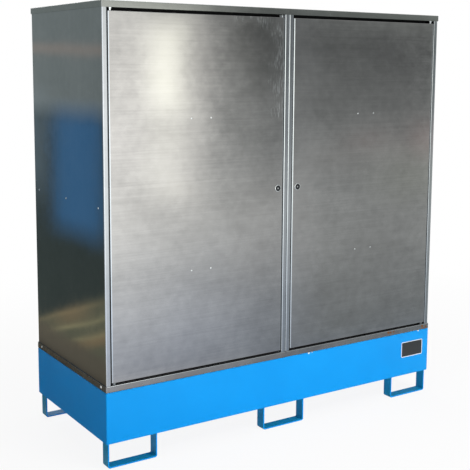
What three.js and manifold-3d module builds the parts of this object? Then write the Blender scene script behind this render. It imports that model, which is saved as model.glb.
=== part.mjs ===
// Storage cabinet for dangerous goods: two sheet-steel locker modules on one sump with six feet.
// Millimetres, +Z up, front facing -Y, origin on the floor under the middle of the cabinet.
import * as THREE from 'three';
import { mergeVertices } from 'three/addons/utils/BufferGeometryUtils.js';
import Module from 'manifold-3d';

const wasm = await Module();
wasm.setup();

// Overall size
const cabinetWidth = 1780;
const cabinetDepth = 742;
const cabinetHeight = 1880;

// Clearances shared by the whole cabinet
const seatGap = 0.3;
const cutOverrun = 5;

// Sump and feet
const footHeight = 107;
const footLength = 226;
const footDepth = 50;
const footBar = 6;
const footBendRadius = 10;
const footSideInset = 10;
const footFrontInset = 10;
const footRearInset = 14;
const sumpHeight = 217;
const sumpSheet = 3;
const sumpRimWidth = 28;
const sumpCornerRadius = 5;

// Gratings over the sump and what carries them
const gratingHeight = 30;
const gratingBar = 4;
const gratingCellsAlong = 10;
const gratingCellsAcross = 8;
const gratingEdgePlay = 2;
const gratingTopDrop = 1;
const ledgeLeg = 50;
const beamWidth = 60;
const beamHeight = 50;
const carrierSheet = 4;

// Sheet metal of the modules
const sheet = 2;
const bendRadius = 3;
const capOverhang = 3;
const capHeight = 26;
const capCornerRadius = 4;
const baseRingWidth = 40;
const outerStileWidth = 22;
const innerStileWidth = 22;
const outerStileReturn = 20;
const stopLipWidth = 14;
const rearFlangeWidth = 25;
const backFlangeDepth = 15;

// Ventilation slots in the back panels
const slotLength = 90;
const slotHeight = 8;
const slotPitch = 130;
const slotRowPitch = 30;
const slotsPerRow = 5;
const slotRows = 2;
const slotRowInset = 130;

// Doors
const doorSideGap = 3;
const doorTopGap = 12.5;
const doorBottomGap = 9.5;
const doorDepth = 22;
const doorFrontRadius = 6;
const doorBackRadius = 4;
const doorReturnWidth = 14;
const doorStopGap = 1;
const doorStopOverlap = 11;
const stiffenerHalfWidth = 60;
const stiffenerHatHalfWidth = 26;
const stiffenerFootHalfWidth = 34;
const stiffenerRise = 13;

// Door pivots
const pivotEdgeInset = 14;
const pivotFaceInset = 11;
const pinRadius = 5;
const pinReach = 18;
const collarRadius = 8;
const topCollarHeight = 4;
const swingNotchLength = 32;
const railWebDrop = 5;

// Cylinder locks
const lockEdgeInset = 28;
const lockRingRadius = 13;
const lockRingHeight = 2.4;
const lockRingBevel = 1;
const lockBarrelRadius = 10;
const lockPlugRadius = 6.5;
const lockPlugRecess = 0.5;
const lockTailRadius = 4;
const lockTailReach = 2.5;
const lockNutRadius = 15;
const lockNutHeight = 5;
const keySlotLength = 8;
const keySlotWidth = 1.6;
const keySlotDepth = 5;
const camReach = 26;
const camWidth = 16;
const camThickness = 3;
const camGap = 0.5;

// Shelf trays and their rails
const shelfRailCentre = 1070;
const shelfRailLeg = 36;
const shelfRailLedge = 26;
const shelfTrayHeight = 30;
const shelfSidePlay = 4;
const shelfFrontSetback = 41;
const shelfRearSetback = 26;

// Plate on the sump front
const plateWidth = 140;
const plateHeight = 78;
const plateThickness = 1.2;
const plateCornerRadius = 5;
const plateEndInset = 111;
const plateCentreHeight = 238;

// Facets of arcs
const bendSteps = 3;
const roundSteps = 32;
const pinSteps = 24;

// Levels and planes that follow from the sizes
const sumpTop = footHeight + sumpHeight;
const baseBottom = sumpTop + seatGap;
const baseTop = baseBottom + capHeight;
const capBottom = cabinetHeight - capHeight;
const panelBottom = baseBottom + sheet + seatGap;
const panelTop = cabinetHeight - sheet - seatGap;
const frontPlane = -cabinetDepth / 2;
const rearPlane = cabinetDepth / 2;
const bodyFront = frontPlane + capOverhang;
const bodyRear = rearPlane - capOverhang;
const moduleOuter = cabinetWidth / 2;
const wallOuter = moduleOuter - capOverhang;
const wallInner = seatGap;
const doorInner = wallInner + innerStileWidth + doorSideGap;
const doorOuter = wallOuter - outerStileWidth - doorSideGap;
const doorBottom = baseTop + doorBottomGap;
const doorTop = capBottom - doorTopGap;
const doorBack = bodyFront + doorDepth;
const stopFront = doorBack + doorStopGap;
const stopBack = stopFront + sheet;
const pivotAcross = doorOuter - pivotEdgeInset;
const pivotDeep = bodyFront + pivotFaceInset;
const lockAcross = doorInner + lockEdgeInset;
const lockLevel = (doorBottom + doorTop) / 2;

// Finishes
const finishes = {
  zinc: { color: 0x8f9596, roughness: 0.42, metalness: 0.85 },
  roofZinc: { color: 0x969b98, roughness: 0.45, metalness: 0.85 },
  innerZinc: { color: 0x7f8586, roughness: 0.5, metalness: 0.8 },
  blue: { color: 0x209ff0, roughness: 0.35, metalness: 0 },
  footBlue: { color: 0x0f68b4, roughness: 0.4, metalness: 0 },
  chrome: { color: 0xc9ccce, roughness: 0.15, metalness: 1 },
  darkSteel: { color: 0x3a3d40, roughness: 0.45, metalness: 0.9 },
  plate: { color: 0x17191c, roughness: 0.4, metalness: 0.1 },
};

/** Turns a closed geometry into a solid that can be cut and joined. */
function toSolid(geometry) {
  const bare = geometry.clone();
  bare.deleteAttribute('normal');
  bare.deleteAttribute('uv');
  const merged = mergeVertices(bare);
  const data = new wasm.Mesh({
    numProp: 3,
    vertProperties: new Float32Array(merged.attributes.position.array),
    triVerts: new Uint32Array(merged.index.array),
  });
  data.merge();
  return new wasm.Manifold(data);
}

/** Turns a solid back into a geometry. */
function toGeometry(solid) {
  const data = solid.getMesh();
  const geometry = new THREE.BufferGeometry();
  geometry.setAttribute('position', new THREE.BufferAttribute(data.vertProperties, 3));
  geometry.setIndex(new THREE.BufferAttribute(data.triVerts, 1));
  geometry.computeVertexNormals();
  return geometry;
}

/** A box between two corners, given in any order. */
function block(a, b) {
  const low = new THREE.Vector3(...a).min(new THREE.Vector3(...b));
  const high = new THREE.Vector3(...a).max(new THREE.Vector3(...b));
  const size = high.clone().sub(low);
  const geometry = new THREE.BoxGeometry(size.x, size.y, size.z);
  geometry.translate((low.x + high.x) / 2, (low.y + high.y) / 2, (low.z + high.z) / 2);
  return toSolid(geometry);
}

/** Points of an arc round a centre, from one angle to another. */
function arcPoints(centre, radius, from, to, steps) {
  const points = [];
  for (let i = 0; i <= steps; i += 1) {
    const angle = from + ((to - from) * i) / steps;
    points.push(new THREE.Vector2(
      centre.x + radius * Math.cos(angle),
      centre.y + radius * Math.sin(angle),
    ));
  }
  return points;
}

/** A rectangle whose front pair and back pair of corners have their own radii. */
function roundedOutline(x0, x1, y0, y1, frontRadius, backRadius) {
  const left = Math.min(x0, x1);
  const right = Math.max(x0, x1);
  const quarter = Math.PI / 2;
  const corners = [
    [new THREE.Vector2(left + frontRadius, y0 + frontRadius), frontRadius, 2],
    [new THREE.Vector2(right - frontRadius, y0 + frontRadius), frontRadius, 3],
    [new THREE.Vector2(right - backRadius, y1 - backRadius), backRadius, 0],
    [new THREE.Vector2(left + backRadius, y1 - backRadius), backRadius, 1],
  ];
  return corners.flatMap(([centre, radius, turn]) => (
    arcPoints(centre, radius, turn * quarter, (turn + 1) * quarter, bendSteps)
  ));
}

/** The section of a bent sheet or bar along its middle line, with a round bend at each corner. */
function bentSection(corners, thickness, innerRadius) {
  const line = corners.map(([x, y]) => new THREE.Vector2(x, y));
  const left = [];
  const right = [];
  const half = thickness / 2;
  const along = (a, b) => b.clone().sub(a).normalize();
  const normalOf = (d) => new THREE.Vector2(-d.y, d.x);
  const pushPair = (point, normal) => {
    left.push(point.clone().addScaledVector(normal, half));
    right.push(point.clone().addScaledVector(normal, -half));
  };
  pushPair(line[0], normalOf(along(line[0], line[1])));
  for (let i = 1; i < line.length - 1; i += 1) {
    const before = along(line[i - 1], line[i]);
    const after = along(line[i], line[i + 1]);
    const turn = Math.atan2(before.cross(after), before.dot(after));
    const radius = innerRadius + half;
    const side = Math.sign(turn);
    const start = line[i].clone().addScaledVector(before, -radius * Math.tan(Math.abs(turn) / 2));
    const centre = start.clone().addScaledVector(normalOf(before), side * radius);
    for (let k = 0; k <= bendSteps; k += 1) {
      const spoke = normalOf(before).multiplyScalar(-side);
      spoke.rotateAround(new THREE.Vector2(), (turn * k) / bendSteps);
      pushPair(
        centre.clone().addScaledVector(spoke, radius),
        spoke.clone().multiplyScalar(-side),
      );
    }
  }
  const last = line.length - 1;
  pushPair(line[last], normalOf(along(line[last - 1], line[last])));
  return [...left, ...right.reverse()];
}

/** An outline in plan, raised from one level to another. */
function raise(points, bottom, top) {
  const geometry = new THREE.ExtrudeGeometry(new THREE.Shape(points), {
    depth: top - bottom,
    bevelEnabled: false,
  });
  geometry.translate(0, 0, bottom);
  return toSolid(geometry);
}

/** An outline of (depth, height) points, run across from one X to another. */
function runAcross(points, from, to) {
  const start = Math.min(from, to);
  const geometry = new THREE.ExtrudeGeometry(new THREE.Shape(points), {
    depth: Math.abs(to - from),
    bevelEnabled: false,
  });
  geometry.applyMatrix4(new THREE.Matrix4().makeBasis(
    new THREE.Vector3(0, 1, 0),
    new THREE.Vector3(0, 0, 1),
    new THREE.Vector3(1, 0, 0),
  ));
  geometry.translate(start, 0, 0);
  return toSolid(geometry);
}

/** An outline of (across, height) points, run from a front plane to a back plane. */
function runDeep(points, front, back) {
  const geometry = new THREE.ExtrudeGeometry(new THREE.Shape(points), {
    depth: back - front,
    bevelEnabled: false,
  });
  geometry.applyMatrix4(new THREE.Matrix4().makeBasis(
    new THREE.Vector3(1, 0, 0),
    new THREE.Vector3(0, 0, 1),
    new THREE.Vector3(0, -1, 0),
  ));
  geometry.translate(0, back, 0);
  return toSolid(geometry);
}

/** A turned piece from a closed (radius, height) profile round an upright axis. */
function turned(profile, steps) {
  const points = profile.map(([radius, height]) => new THREE.Vector2(radius, height));
  const geometry = new THREE.LatheGeometry([...points, points[0]], steps);
  geometry.rotateX(Math.PI / 2);
  return toSolid(geometry);
}

/** An upright round bar. */
function rod(radius, x, y, bottom, top) {
  const geometry = new THREE.CylinderGeometry(radius, radius, top - bottom, pinSteps);
  geometry.rotateX(Math.PI / 2);
  geometry.translate(x, y, (bottom + top) / 2);
  return toSolid(geometry);
}

/** A round bar from front to back. */
function crossRod(radius, x, z, front, back, steps) {
  const geometry = new THREE.CylinderGeometry(radius, radius, back - front, steps);
  geometry.translate(x, (front + back) / 2, z);
  return toSolid(geometry);
}

const group = new THREE.Group();
group.name = 'storage_cabinet';

/** Adds a named piece with its finish. */
function addPiece(name, solid, finishName) {
  const mesh = new THREE.Mesh(
    toGeometry(solid),
    new THREE.MeshStandardMaterial(finishes[finishName]),
  );
  mesh.name = name;
  mesh.material.name = finishName;
  group.add(mesh);
}

/** The open sump with its rim folded inwards. */
function sumpTray() {
  const half = cabinetWidth / 2;
  const outer = raise(
    roundedOutline(-half, half, frontPlane, rearPlane, sumpCornerRadius, sumpCornerRadius),
    footHeight,
    sumpTop,
  );
  const innerRadius = sumpCornerRadius - sumpSheet;
  const hollow = raise(
    roundedOutline(
      -half + sumpSheet,
      half - sumpSheet,
      frontPlane + sumpSheet,
      rearPlane - sumpSheet,
      innerRadius,
      innerRadius,
    ),
    footHeight + sumpSheet,
    sumpTop - sumpSheet,
  );
  const rimInset = sumpSheet + sumpRimWidth;
  const mouth = block(
    [-half + rimInset, frontPlane + rimInset, footHeight + sumpSheet],
    [half - rimInset, rearPlane - rimInset, sumpTop + cutOverrun],
  );
  return outer.subtract(hollow).subtract(mouth);
}

/** One U-shaped foot of bent flat bar, between two X positions. */
function foot(left, front) {
  const halfBar = footBar / 2;
  const right = left + footLength;
  const top = footHeight - seatGap;
  const section = bentSection(
    [
      [left + halfBar, top],
      [left + halfBar, halfBar],
      [right - halfBar, halfBar],
      [right - halfBar, top],
    ],
    footBar,
    footBendRadius - footBar,
  );
  return runDeep(section, front, front + footDepth);
}

/** One grating with its square openings, between two X positions. */
function grating(left, right, front, back, bottom, top) {
  const pitchX = (right - left - gratingBar) / gratingCellsAlong;
  const pitchY = (back - front - gratingBar) / gratingCellsAcross;
  let body = block([left, front, bottom], [right, back, top]);
  for (let i = 0; i < gratingCellsAlong; i += 1) {
    for (let k = 0; k < gratingCellsAcross; k += 1) {
      const x0 = left + gratingBar + pitchX * i;
      const y0 = front + gratingBar + pitchY * k;
      body = body.subtract(block(
        [x0, y0, bottom - cutOverrun],
        [x0 + pitchX - gratingBar, y0 + pitchY - gratingBar, top + cutOverrun],
      ));
    }
  }
  return body;
}

/** A tray-shaped cap or base of one module: a plate with a flange on three sides. */
function edgedPlate(side, plateBottom, plateTop, bottom, top) {
  const outer = raise(
    roundedOutline(
      side * seatGap,
      side * moduleOuter,
      frontPlane,
      rearPlane,
      capCornerRadius,
      capCornerRadius,
    ),
    bottom,
    top,
  );
  const innerRadius = capCornerRadius - sheet;
  const room = raise(
    roundedOutline(
      -side * (capCornerRadius + cutOverrun),
      side * (moduleOuter - sheet),
      frontPlane + sheet,
      rearPlane - sheet,
      innerRadius,
      innerRadius,
    ),
    plateBottom > bottom ? bottom - cutOverrun : plateTop,
    plateBottom > bottom ? plateBottom : top + cutOverrun,
  );
  return outer.subtract(room);
}

/** The base frame of one module: angle section all round an open middle. */
function baseFrame(side) {
  const mouth = block(
    [
      side * (seatGap + baseRingWidth),
      frontPlane + baseRingWidth,
      baseBottom - cutOverrun,
    ],
    [
      side * (moduleOuter - baseRingWidth),
      rearPlane - baseRingWidth,
      baseTop + cutOverrun,
    ],
  );
  return edgedPlate(side, baseBottom, baseBottom + sheet, baseBottom, baseTop).subtract(mouth);
}

/** The outer side panel of one module, folded into the hinge-side stile. */
function outerPanel(side) {
  const halfSheet = sheet / 2;
  const stileEdge = wallOuter - outerStileWidth + halfSheet;
  const section = bentSection(
    [
      [side * stileEdge, bodyFront + outerStileReturn],
      [side * stileEdge, bodyFront + halfSheet],
      [side * (wallOuter - halfSheet), bodyFront + halfSheet],
      [side * (wallOuter - halfSheet), bodyRear - halfSheet],
      [side * (wallOuter - rearFlangeWidth), bodyRear - halfSheet],
    ],
    sheet,
    bendRadius,
  );
  return raise(section, panelBottom, panelTop);
}

/** The inner side panel of one module, folded into the lock-side stile with a stop lip. */
function innerPanel(side) {
  const halfSheet = sheet / 2;
  const stileEdge = wallInner + innerStileWidth - halfSheet;
  const section = bentSection(
    [
      [side * (wallInner + innerStileWidth + stopLipWidth), stopFront + halfSheet],
      [side * stileEdge, stopFront + halfSheet],
      [side * stileEdge, bodyFront + halfSheet],
      [side * (wallInner + halfSheet), bodyFront + halfSheet],
      [side * (wallInner + halfSheet), bodyRear - halfSheet],
      [side * (wallInner + rearFlangeWidth), bodyRear - halfSheet],
    ],
    sheet,
    bendRadius,
  );
  return raise(section, panelBottom, panelTop);
}

/** The back panel of one module with two groups of ventilation slots. */
function backPanel(side) {
  const halfSheet = sheet / 2;
  const skin = bodyRear - sheet - seatGap - halfSheet;
  const near = wallInner + sheet + seatGap + halfSheet;
  const far = wallOuter - sheet - seatGap - halfSheet;
  const section = bentSection(
    [
      [side * near, skin - backFlangeDepth],
      [side * near, skin],
      [side * far, skin],
      [side * far, skin - backFlangeDepth],
    ],
    sheet,
    bendRadius,
  );
  const panel = raise(section, panelBottom, panelTop);
  const middle = (near + far) / 2;
  const firstSlot = middle - (slotPitch * (slotsPerRow - 1)) / 2;
  const cuts = [];
  for (let row = 0; row < slotRows; row += 1) {
    const rise = slotRowInset + slotRowPitch * row;
    for (const level of [panelBottom + rise, panelTop - rise]) {
      for (let i = 0; i < slotsPerRow; i += 1) {
        const centre = firstSlot + slotPitch * i;
        cuts.push(block(
          [side * (centre - slotLength / 2), skin - cutOverrun, level - slotHeight / 2],
          [side * (centre + slotLength / 2), skin + cutOverrun, level + slotHeight / 2],
        ));
      }
    }
  }
  return cuts.reduce((body, cut) => body.subtract(cut), panel);
}

/** Header (direction 1) or sill (direction -1) between the stiles, with the door's stop flange. */
function crossRail(side, web, webOuterFace, flangeEnd, panelEnd, direction) {
  const halfSheet = sheet / 2;
  const near = wallInner + innerStileWidth + seatGap;
  const far = wallOuter - outerStileWidth - seatGap;
  const section = bentSection(
    [
      [bodyFront + halfSheet, panelEnd - direction * railWebDrop],
      [bodyFront + halfSheet, web],
      [stopFront + halfSheet, web],
      [stopFront + halfSheet, flangeEnd],
    ],
    sheet,
    bendRadius,
  );
  const rail = runAcross(section, side * near, side * far);
  const lipNotch = block(
    [
      side * (near - cutOverrun),
      stopFront - bendRadius - seatGap,
      flangeEnd - direction * cutOverrun,
    ],
    [side * (near + stopLipWidth), stopBack + cutOverrun, panelEnd],
  );
  const swingNotch = block(
    [
      side * (pivotAcross - swingNotchLength / 2),
      doorBack - doorReturnWidth,
      flangeEnd - direction * cutOverrun,
    ],
    [side * (far + cutOverrun), stopBack + cutOverrun, webOuterFace],
  );
  return rail.subtract(lipNotch).subtract(swingNotch);
}

/** One door: a folded pan with returns on all four edges and its lock and pivot holes. */
function doorPan(side) {
  const outer = raise(
    roundedOutline(
      side * doorInner,
      side * doorOuter,
      bodyFront,
      doorBack,
      doorFrontRadius,
      doorBackRadius,
    ),
    doorBottom,
    doorTop,
  );
  const hollow = raise(
    roundedOutline(
      side * (doorInner + sheet),
      side * (doorOuter - sheet),
      bodyFront + sheet,
      doorBack - sheet,
      doorFrontRadius - sheet,
      doorBackRadius - sheet,
    ),
    doorBottom + sheet,
    doorTop - sheet,
  );
  const mouth = block(
    [
      side * (doorInner + doorReturnWidth),
      doorBack - sheet - bendRadius,
      doorBottom + doorReturnWidth,
    ],
    [
      side * (doorOuter - doorReturnWidth),
      doorBack + cutOverrun,
      doorTop - doorReturnWidth,
    ],
  );
  const lockHole = crossRod(
    lockBarrelRadius + seatGap,
    side * lockAcross,
    lockLevel,
    bodyFront - cutOverrun,
    bodyFront + doorFrontRadius,
    roundSteps,
  );
  const lowHole = rod(
    pinRadius + seatGap,
    side * pivotAcross,
    pivotDeep,
    doorBottom - cutOverrun,
    doorBottom + sheet + cutOverrun,
  );
  const highHole = rod(
    pinRadius + seatGap,
    side * pivotAcross,
    pivotDeep,
    doorTop - sheet - cutOverrun,
    doorTop + cutOverrun,
  );
  return outer
    .subtract(hollow)
    .subtract(mouth)
    .subtract(lockHole)
    .subtract(lowHole)
    .subtract(highHole);
}

/** The upright hat-section stiffener inside one door. */
function doorStiffener(side) {
  const middle = (doorInner + doorOuter) / 2;
  const near = bodyFront + sheet + seatGap + sheet / 2;
  const far = near + stiffenerRise;
  const section = bentSection(
    [
      [side * middle - stiffenerHalfWidth, near],
      [side * middle - stiffenerFootHalfWidth, near],
      [side * middle - stiffenerHatHalfWidth, far],
      [side * middle + stiffenerHatHalfWidth, far],
      [side * middle + stiffenerFootHalfWidth, near],
      [side * middle + stiffenerHalfWidth, near],
    ],
    sheet,
    bendRadius,
  );
  return raise(section, doorBottom + sheet + seatGap, doorTop - sheet - seatGap);
}

/** A pivot pin with its collar, pointing up from the sill (1) or down from the header (-1). */
function pivotPin(side, start, direction, collarHeight, gap) {
  const reach = gap + pinReach;
  const solid = turned(
    [
      [0, 0],
      [collarRadius, 0],
      [collarRadius, collarHeight],
      [pinRadius, collarHeight],
      [pinRadius, reach],
      [0, reach],
    ],
    pinSteps,
  );
  const tilted = direction > 0 ? solid : solid.rotate([180, 0, 0]);
  return tilted.translate([side * pivotAcross, pivotDeep, start]);
}

/** Turns an upright lathe piece so that its axis runs from front to back, at a door's lock. */
function placeAtLock(solid, side, front) {
  return solid.rotate([-90, 0, 0]).translate([side * lockAcross, front, lockLevel]);
}

const lockFront = bodyFront - seatGap - lockRingHeight;
const camFront = stopBack + camGap;
const barrelLength = camFront - camGap - lockFront;
const ringHeight = lockRingHeight;

/** The chromed ring and barrel of a lock, bored for its plug. */
function lockHousing(side) {
  const bore = lockPlugRadius + seatGap;
  const solid = turned(
    [
      [bore, 0],
      [lockRingRadius - lockRingBevel, 0],
      [lockRingRadius, lockRingBevel],
      [lockRingRadius, ringHeight],
      [lockBarrelRadius, ringHeight],
      [lockBarrelRadius, barrelLength],
      [bore, barrelLength],
    ],
    roundSteps,
  );
  return placeAtLock(solid, side, lockFront);
}

/** The turning plug of a lock with its key slot and tail. */
function lockPlug(side) {
  const tailStart = camFront - camGap - lockFront;
  const tailEnd = camFront + camThickness + lockTailReach - lockFront;
  const solid = turned(
    [
      [0, lockPlugRecess],
      [lockPlugRadius, lockPlugRecess],
      [lockPlugRadius, tailStart],
      [lockTailRadius, tailStart],
      [lockTailRadius, tailEnd],
      [0, tailEnd],
    ],
    roundSteps,
  );
  const slot = block(
    [
      side * lockAcross - keySlotWidth / 2,
      lockFront - cutOverrun,
      lockLevel - keySlotLength / 2,
    ],
    [
      side * lockAcross + keySlotWidth / 2,
      lockFront + lockPlugRecess + keySlotDepth,
      lockLevel + keySlotLength / 2,
    ],
  );
  return placeAtLock(solid, side, lockFront).subtract(slot);
}

/** The hexagonal nut that holds a lock from inside the door. */
function lockNut(side) {
  const front = bodyFront + sheet + seatGap;
  const hexagon = crossRod(lockNutRadius, side * lockAcross, lockLevel, front, front + lockNutHeight, 6);
  const bore = crossRod(
    lockBarrelRadius + seatGap,
    side * lockAcross,
    lockLevel,
    front - cutOverrun,
    front + lockNutHeight + cutOverrun,
    roundSteps,
  );
  return hexagon.subtract(bore);
}

/** The cam on a lock's tail, hanging down in its open position. */
function lockCam(side) {
  const x = side * lockAcross;
  const halfWidth = camWidth / 2;
  const tipLevel = lockLevel - camReach + halfWidth;
  const tip = new THREE.Vector2(x, tipLevel);
  const hub = new THREE.Vector2(x, lockLevel);
  const outline = [
    ...arcPoints(hub, halfWidth, 0, Math.PI, roundSteps / 2),
    ...arcPoints(tip, halfWidth, Math.PI, Math.PI * 2, roundSteps / 2),
  ];
  const plate = runDeep(outline, camFront, camFront + camThickness);
  const hole = crossRod(
    lockTailRadius + seatGap,
    x,
    lockLevel,
    camFront - cutOverrun,
    camFront + camThickness + cutOverrun,
    roundSteps,
  );
  return plate.subtract(hole);
}

const shelfFront = bodyFront + shelfFrontSetback;
const shelfRear = bodyRear - shelfRearSetback;
const railTop = shelfRailCentre + shelfRailLeg / 2;

/** A shelf rail of angle section against a wall; inward is the way its ledge points. */
function shelfRail(side, wallFace, inward) {
  const halfSheet = sheet / 2;
  const leg = wallFace + inward * (seatGap + halfSheet);
  const section = bentSection(
    [
      [side * leg, railTop - shelfRailLeg],
      [side * leg, railTop - halfSheet],
      [side * (wallFace + inward * shelfRailLedge), railTop - halfSheet],
    ],
    sheet,
    bendRadius,
  );
  return runDeep(section, shelfFront, shelfRear);
}

/** A shelf tray with upturned edges, resting on its two rails. */
function shelfTray(side) {
  const near = wallInner + sheet + shelfSidePlay;
  const far = wallOuter - sheet - shelfSidePlay;
  const bottom = railTop + seatGap;
  const outer = block(
    [side * near, shelfFront, bottom],
    [side * far, shelfRear, bottom + shelfTrayHeight],
  );
  const room = block(
    [side * (near + sheet), shelfFront + sheet, bottom + sheet],
    [side * (far - sheet), shelfRear - sheet, bottom + shelfTrayHeight + cutOverrun],
  );
  return outer.subtract(room);
}

// Sump, feet and gratings
addPiece('sump_tray', sumpTray(), 'blue');
const footLefts = {
  left: -cabinetWidth / 2 + footSideInset,
  middle: -footLength / 2,
  right: cabinetWidth / 2 - footSideInset - footLength,
};
const footFronts = {
  front: frontPlane + footFrontInset,
  rear: rearPlane - footRearInset - footDepth,
};
for (const [row, front] of Object.entries(footFronts)) {
  for (const [place, left] of Object.entries(footLefts)) {
    addPiece(`foot_${row}_${place}`, foot(left, front), 'footBlue');
  }
}
const gratingTop = sumpTop - gratingTopDrop;
const gratingBottom = gratingTop - gratingHeight;
const gratingOuter = cabinetWidth / 2 - sumpSheet - sumpRimWidth - gratingEdgePlay;
const gratingFront = frontPlane + sumpSheet + sumpRimWidth + gratingEdgePlay;
const carrierTop = gratingBottom - seatGap;
const carrierFront = frontPlane + sumpSheet + seatGap;
const ledgeFront = frontPlane + sumpCornerRadius + seatGap;
const halfCarrier = carrierSheet / 2;
const beamEdge = beamWidth / 2 - halfCarrier;
const beamSection = bentSection(
  [
    [-beamEdge, carrierTop - beamHeight],
    [-beamEdge, carrierTop - halfCarrier],
    [beamEdge, carrierTop - halfCarrier],
    [beamEdge, carrierTop - beamHeight],
  ],
  carrierSheet,
  bendRadius,
);
addPiece('grating_beam', runDeep(beamSection, carrierFront, -carrierFront), 'innerZinc');

// The two modules, mirrored about the middle plane
for (const [name, side] of [['left', -1], ['right', 1]]) {
  const ends = [side * gratingEdgePlay, side * gratingOuter];
  addPiece(
    `grating_${name}`,
    grating(
      Math.min(...ends),
      Math.max(...ends),
      gratingFront,
      -gratingFront,
      gratingBottom,
      gratingTop,
    ),
    'innerZinc',
  );
  const ledgeWall = cabinetWidth / 2 - sumpSheet - seatGap;
  const ledgeSection = bentSection(
    [
      [side * (ledgeWall - halfCarrier), carrierTop - ledgeLeg],
      [side * (ledgeWall - halfCarrier), carrierTop - halfCarrier],
      [side * (ledgeWall - ledgeLeg), carrierTop - halfCarrier],
    ],
    carrierSheet,
    bendRadius,
  );
  addPiece(`grating_ledge_${name}`, runDeep(ledgeSection, ledgeFront, -ledgeFront), 'innerZinc');
  addPiece(`base_frame_${name}`, baseFrame(side), 'roofZinc');
  addPiece(
    `roof_cap_${name}`,
    edgedPlate(side, cabinetHeight - sheet, cabinetHeight, capBottom, cabinetHeight),
    'roofZinc',
  );
  addPiece(`outer_panel_${name}`, outerPanel(side), 'zinc');
  addPiece(`inner_panel_${name}`, innerPanel(side), 'zinc');
  addPiece(`back_panel_${name}`, backPanel(side), 'innerZinc');
  addPiece(
    `header_${name}`,
    crossRail(
      side,
      capBottom + sheet / 2,
      capBottom,
      doorTop - doorStopOverlap,
      panelTop,
      1,
    ),
    'zinc',
  );
  addPiece(
    `sill_${name}`,
    crossRail(
      side,
      baseTop - sheet / 2,
      baseTop,
      doorBottom + doorStopOverlap,
      panelBottom,
      -1,
    ),
    'zinc',
  );
  addPiece(`door_${name}`, doorPan(side), 'zinc');
  addPiece(`door_stiffener_${name}`, doorStiffener(side), 'innerZinc');
  addPiece(
    `lower_pin_${name}`,
    pivotPin(side, baseTop + seatGap, 1, doorBottomGap - seatGap * 2, doorBottomGap),
    'chrome',
  );
  addPiece(
    `upper_pin_${name}`,
    pivotPin(side, capBottom - seatGap, -1, topCollarHeight, doorTopGap),
    'chrome',
  );
  addPiece(`lock_housing_${name}`, lockHousing(side), 'chrome');
  addPiece(`lock_plug_${name}`, lockPlug(side), 'darkSteel');
  addPiece(`lock_nut_${name}`, lockNut(side), 'innerZinc');
  addPiece(`lock_cam_${name}`, lockCam(side), 'innerZinc');
  addPiece(`shelf_rail_outer_${name}`, shelfRail(side, wallOuter - sheet, -1), 'innerZinc');
  addPiece(`shelf_rail_inner_${name}`, shelfRail(side, wallInner + sheet, 1), 'innerZinc');
  addPiece(`shelf_tray_${name}`, shelfTray(side), 'innerZinc');
}

// The bare plate on the sump front
const plateAcross = cabinetWidth / 2 - plateEndInset;
const plateOutline = roundedOutline(
  plateAcross - plateWidth / 2,
  plateAcross + plateWidth / 2,
  plateCentreHeight - plateHeight / 2,
  plateCentreHeight + plateHeight / 2,
  plateCornerRadius,
  plateCornerRadius,
);
addPiece(
  'sump_plate',
  runDeep(plateOutline, frontPlane - seatGap - plateThickness, frontPlane - seatGap),
  'plate',
);

export default group;
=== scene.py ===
"""Storage cabinet for dangerous goods: two sheet-steel lockers side by side on one blue sump with six feet.

Metres, +Z up, front facing -Y, origin on the floor under the middle of the cabinet.
"""

import logging
import math
from collections.abc import Callable, Sequence
from dataclasses import dataclass, replace
from enum import Enum

import bmesh
import bpy
from mathutils import Matrix, Vector


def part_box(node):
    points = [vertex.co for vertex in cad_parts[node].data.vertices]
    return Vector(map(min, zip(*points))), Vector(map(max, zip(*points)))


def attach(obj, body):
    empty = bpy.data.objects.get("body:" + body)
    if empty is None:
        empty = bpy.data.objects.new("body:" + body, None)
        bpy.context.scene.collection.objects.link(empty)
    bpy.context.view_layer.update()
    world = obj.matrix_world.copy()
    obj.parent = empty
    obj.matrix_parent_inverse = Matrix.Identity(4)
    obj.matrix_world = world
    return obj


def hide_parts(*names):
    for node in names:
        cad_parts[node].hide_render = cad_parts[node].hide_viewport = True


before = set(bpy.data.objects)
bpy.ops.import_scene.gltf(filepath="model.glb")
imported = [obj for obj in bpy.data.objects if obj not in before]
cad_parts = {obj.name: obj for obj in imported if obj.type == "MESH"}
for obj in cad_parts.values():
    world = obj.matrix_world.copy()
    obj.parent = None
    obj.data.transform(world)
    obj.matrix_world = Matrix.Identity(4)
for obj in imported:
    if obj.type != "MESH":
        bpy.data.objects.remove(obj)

log = logging.getLogger("cabinet")

# Lengths closer than this are the same.
TOUCH = 2e-5
# Vertices closer than this are one.
DOUBLE = 1e-6
# Faces that meet at less than this are shaded as one.
SMOOTH_ANGLE = math.radians(34)
# The least cosine between a face's normal and a direction: of a flat face, and of one that may lean a little.
SQUARE = 0.99
ROUGHLY = 0.9
# A face in the round of a fold points less than the first along the fold and more than the second both ways.
ALONG_FOLD = 0.1
BOTH_WAYS = 0.12
# Beyond the first and the last end of every board.
FIRST = -9.0
LAST = 9.0
# The share of its radius at which a mark has faded out.
MARK_REACH = 1.1
# How strongly a cured coat of paint bends light.
PAINT_IOR = 1.5
# Half the angle that a flat of a hexagon nut spans.
HALF_FLAT = math.radians(30)

ORIGIN = Vector((0.0, 0.0, 0.0))
RIGHT = Vector((1.0, 0.0, 0.0))
REAR = Vector((0.0, 1.0, 0.0))
UP = Vector((0.0, 0.0, 1.0))
FRONT = -REAR
DOWN = -UP
WHITE = (1.0, 1.0, 1.0, 1.0)

Pair = tuple[float, float]
Triple = tuple[float, float, float]
Colour = tuple[float, float, float, float]
Spot = tuple[float, float, float, float]
Test = Callable[[Vector, Vector], bool]
Socket = bpy.types.NodeSocket
Feeds = dict[int | str, object]


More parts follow.
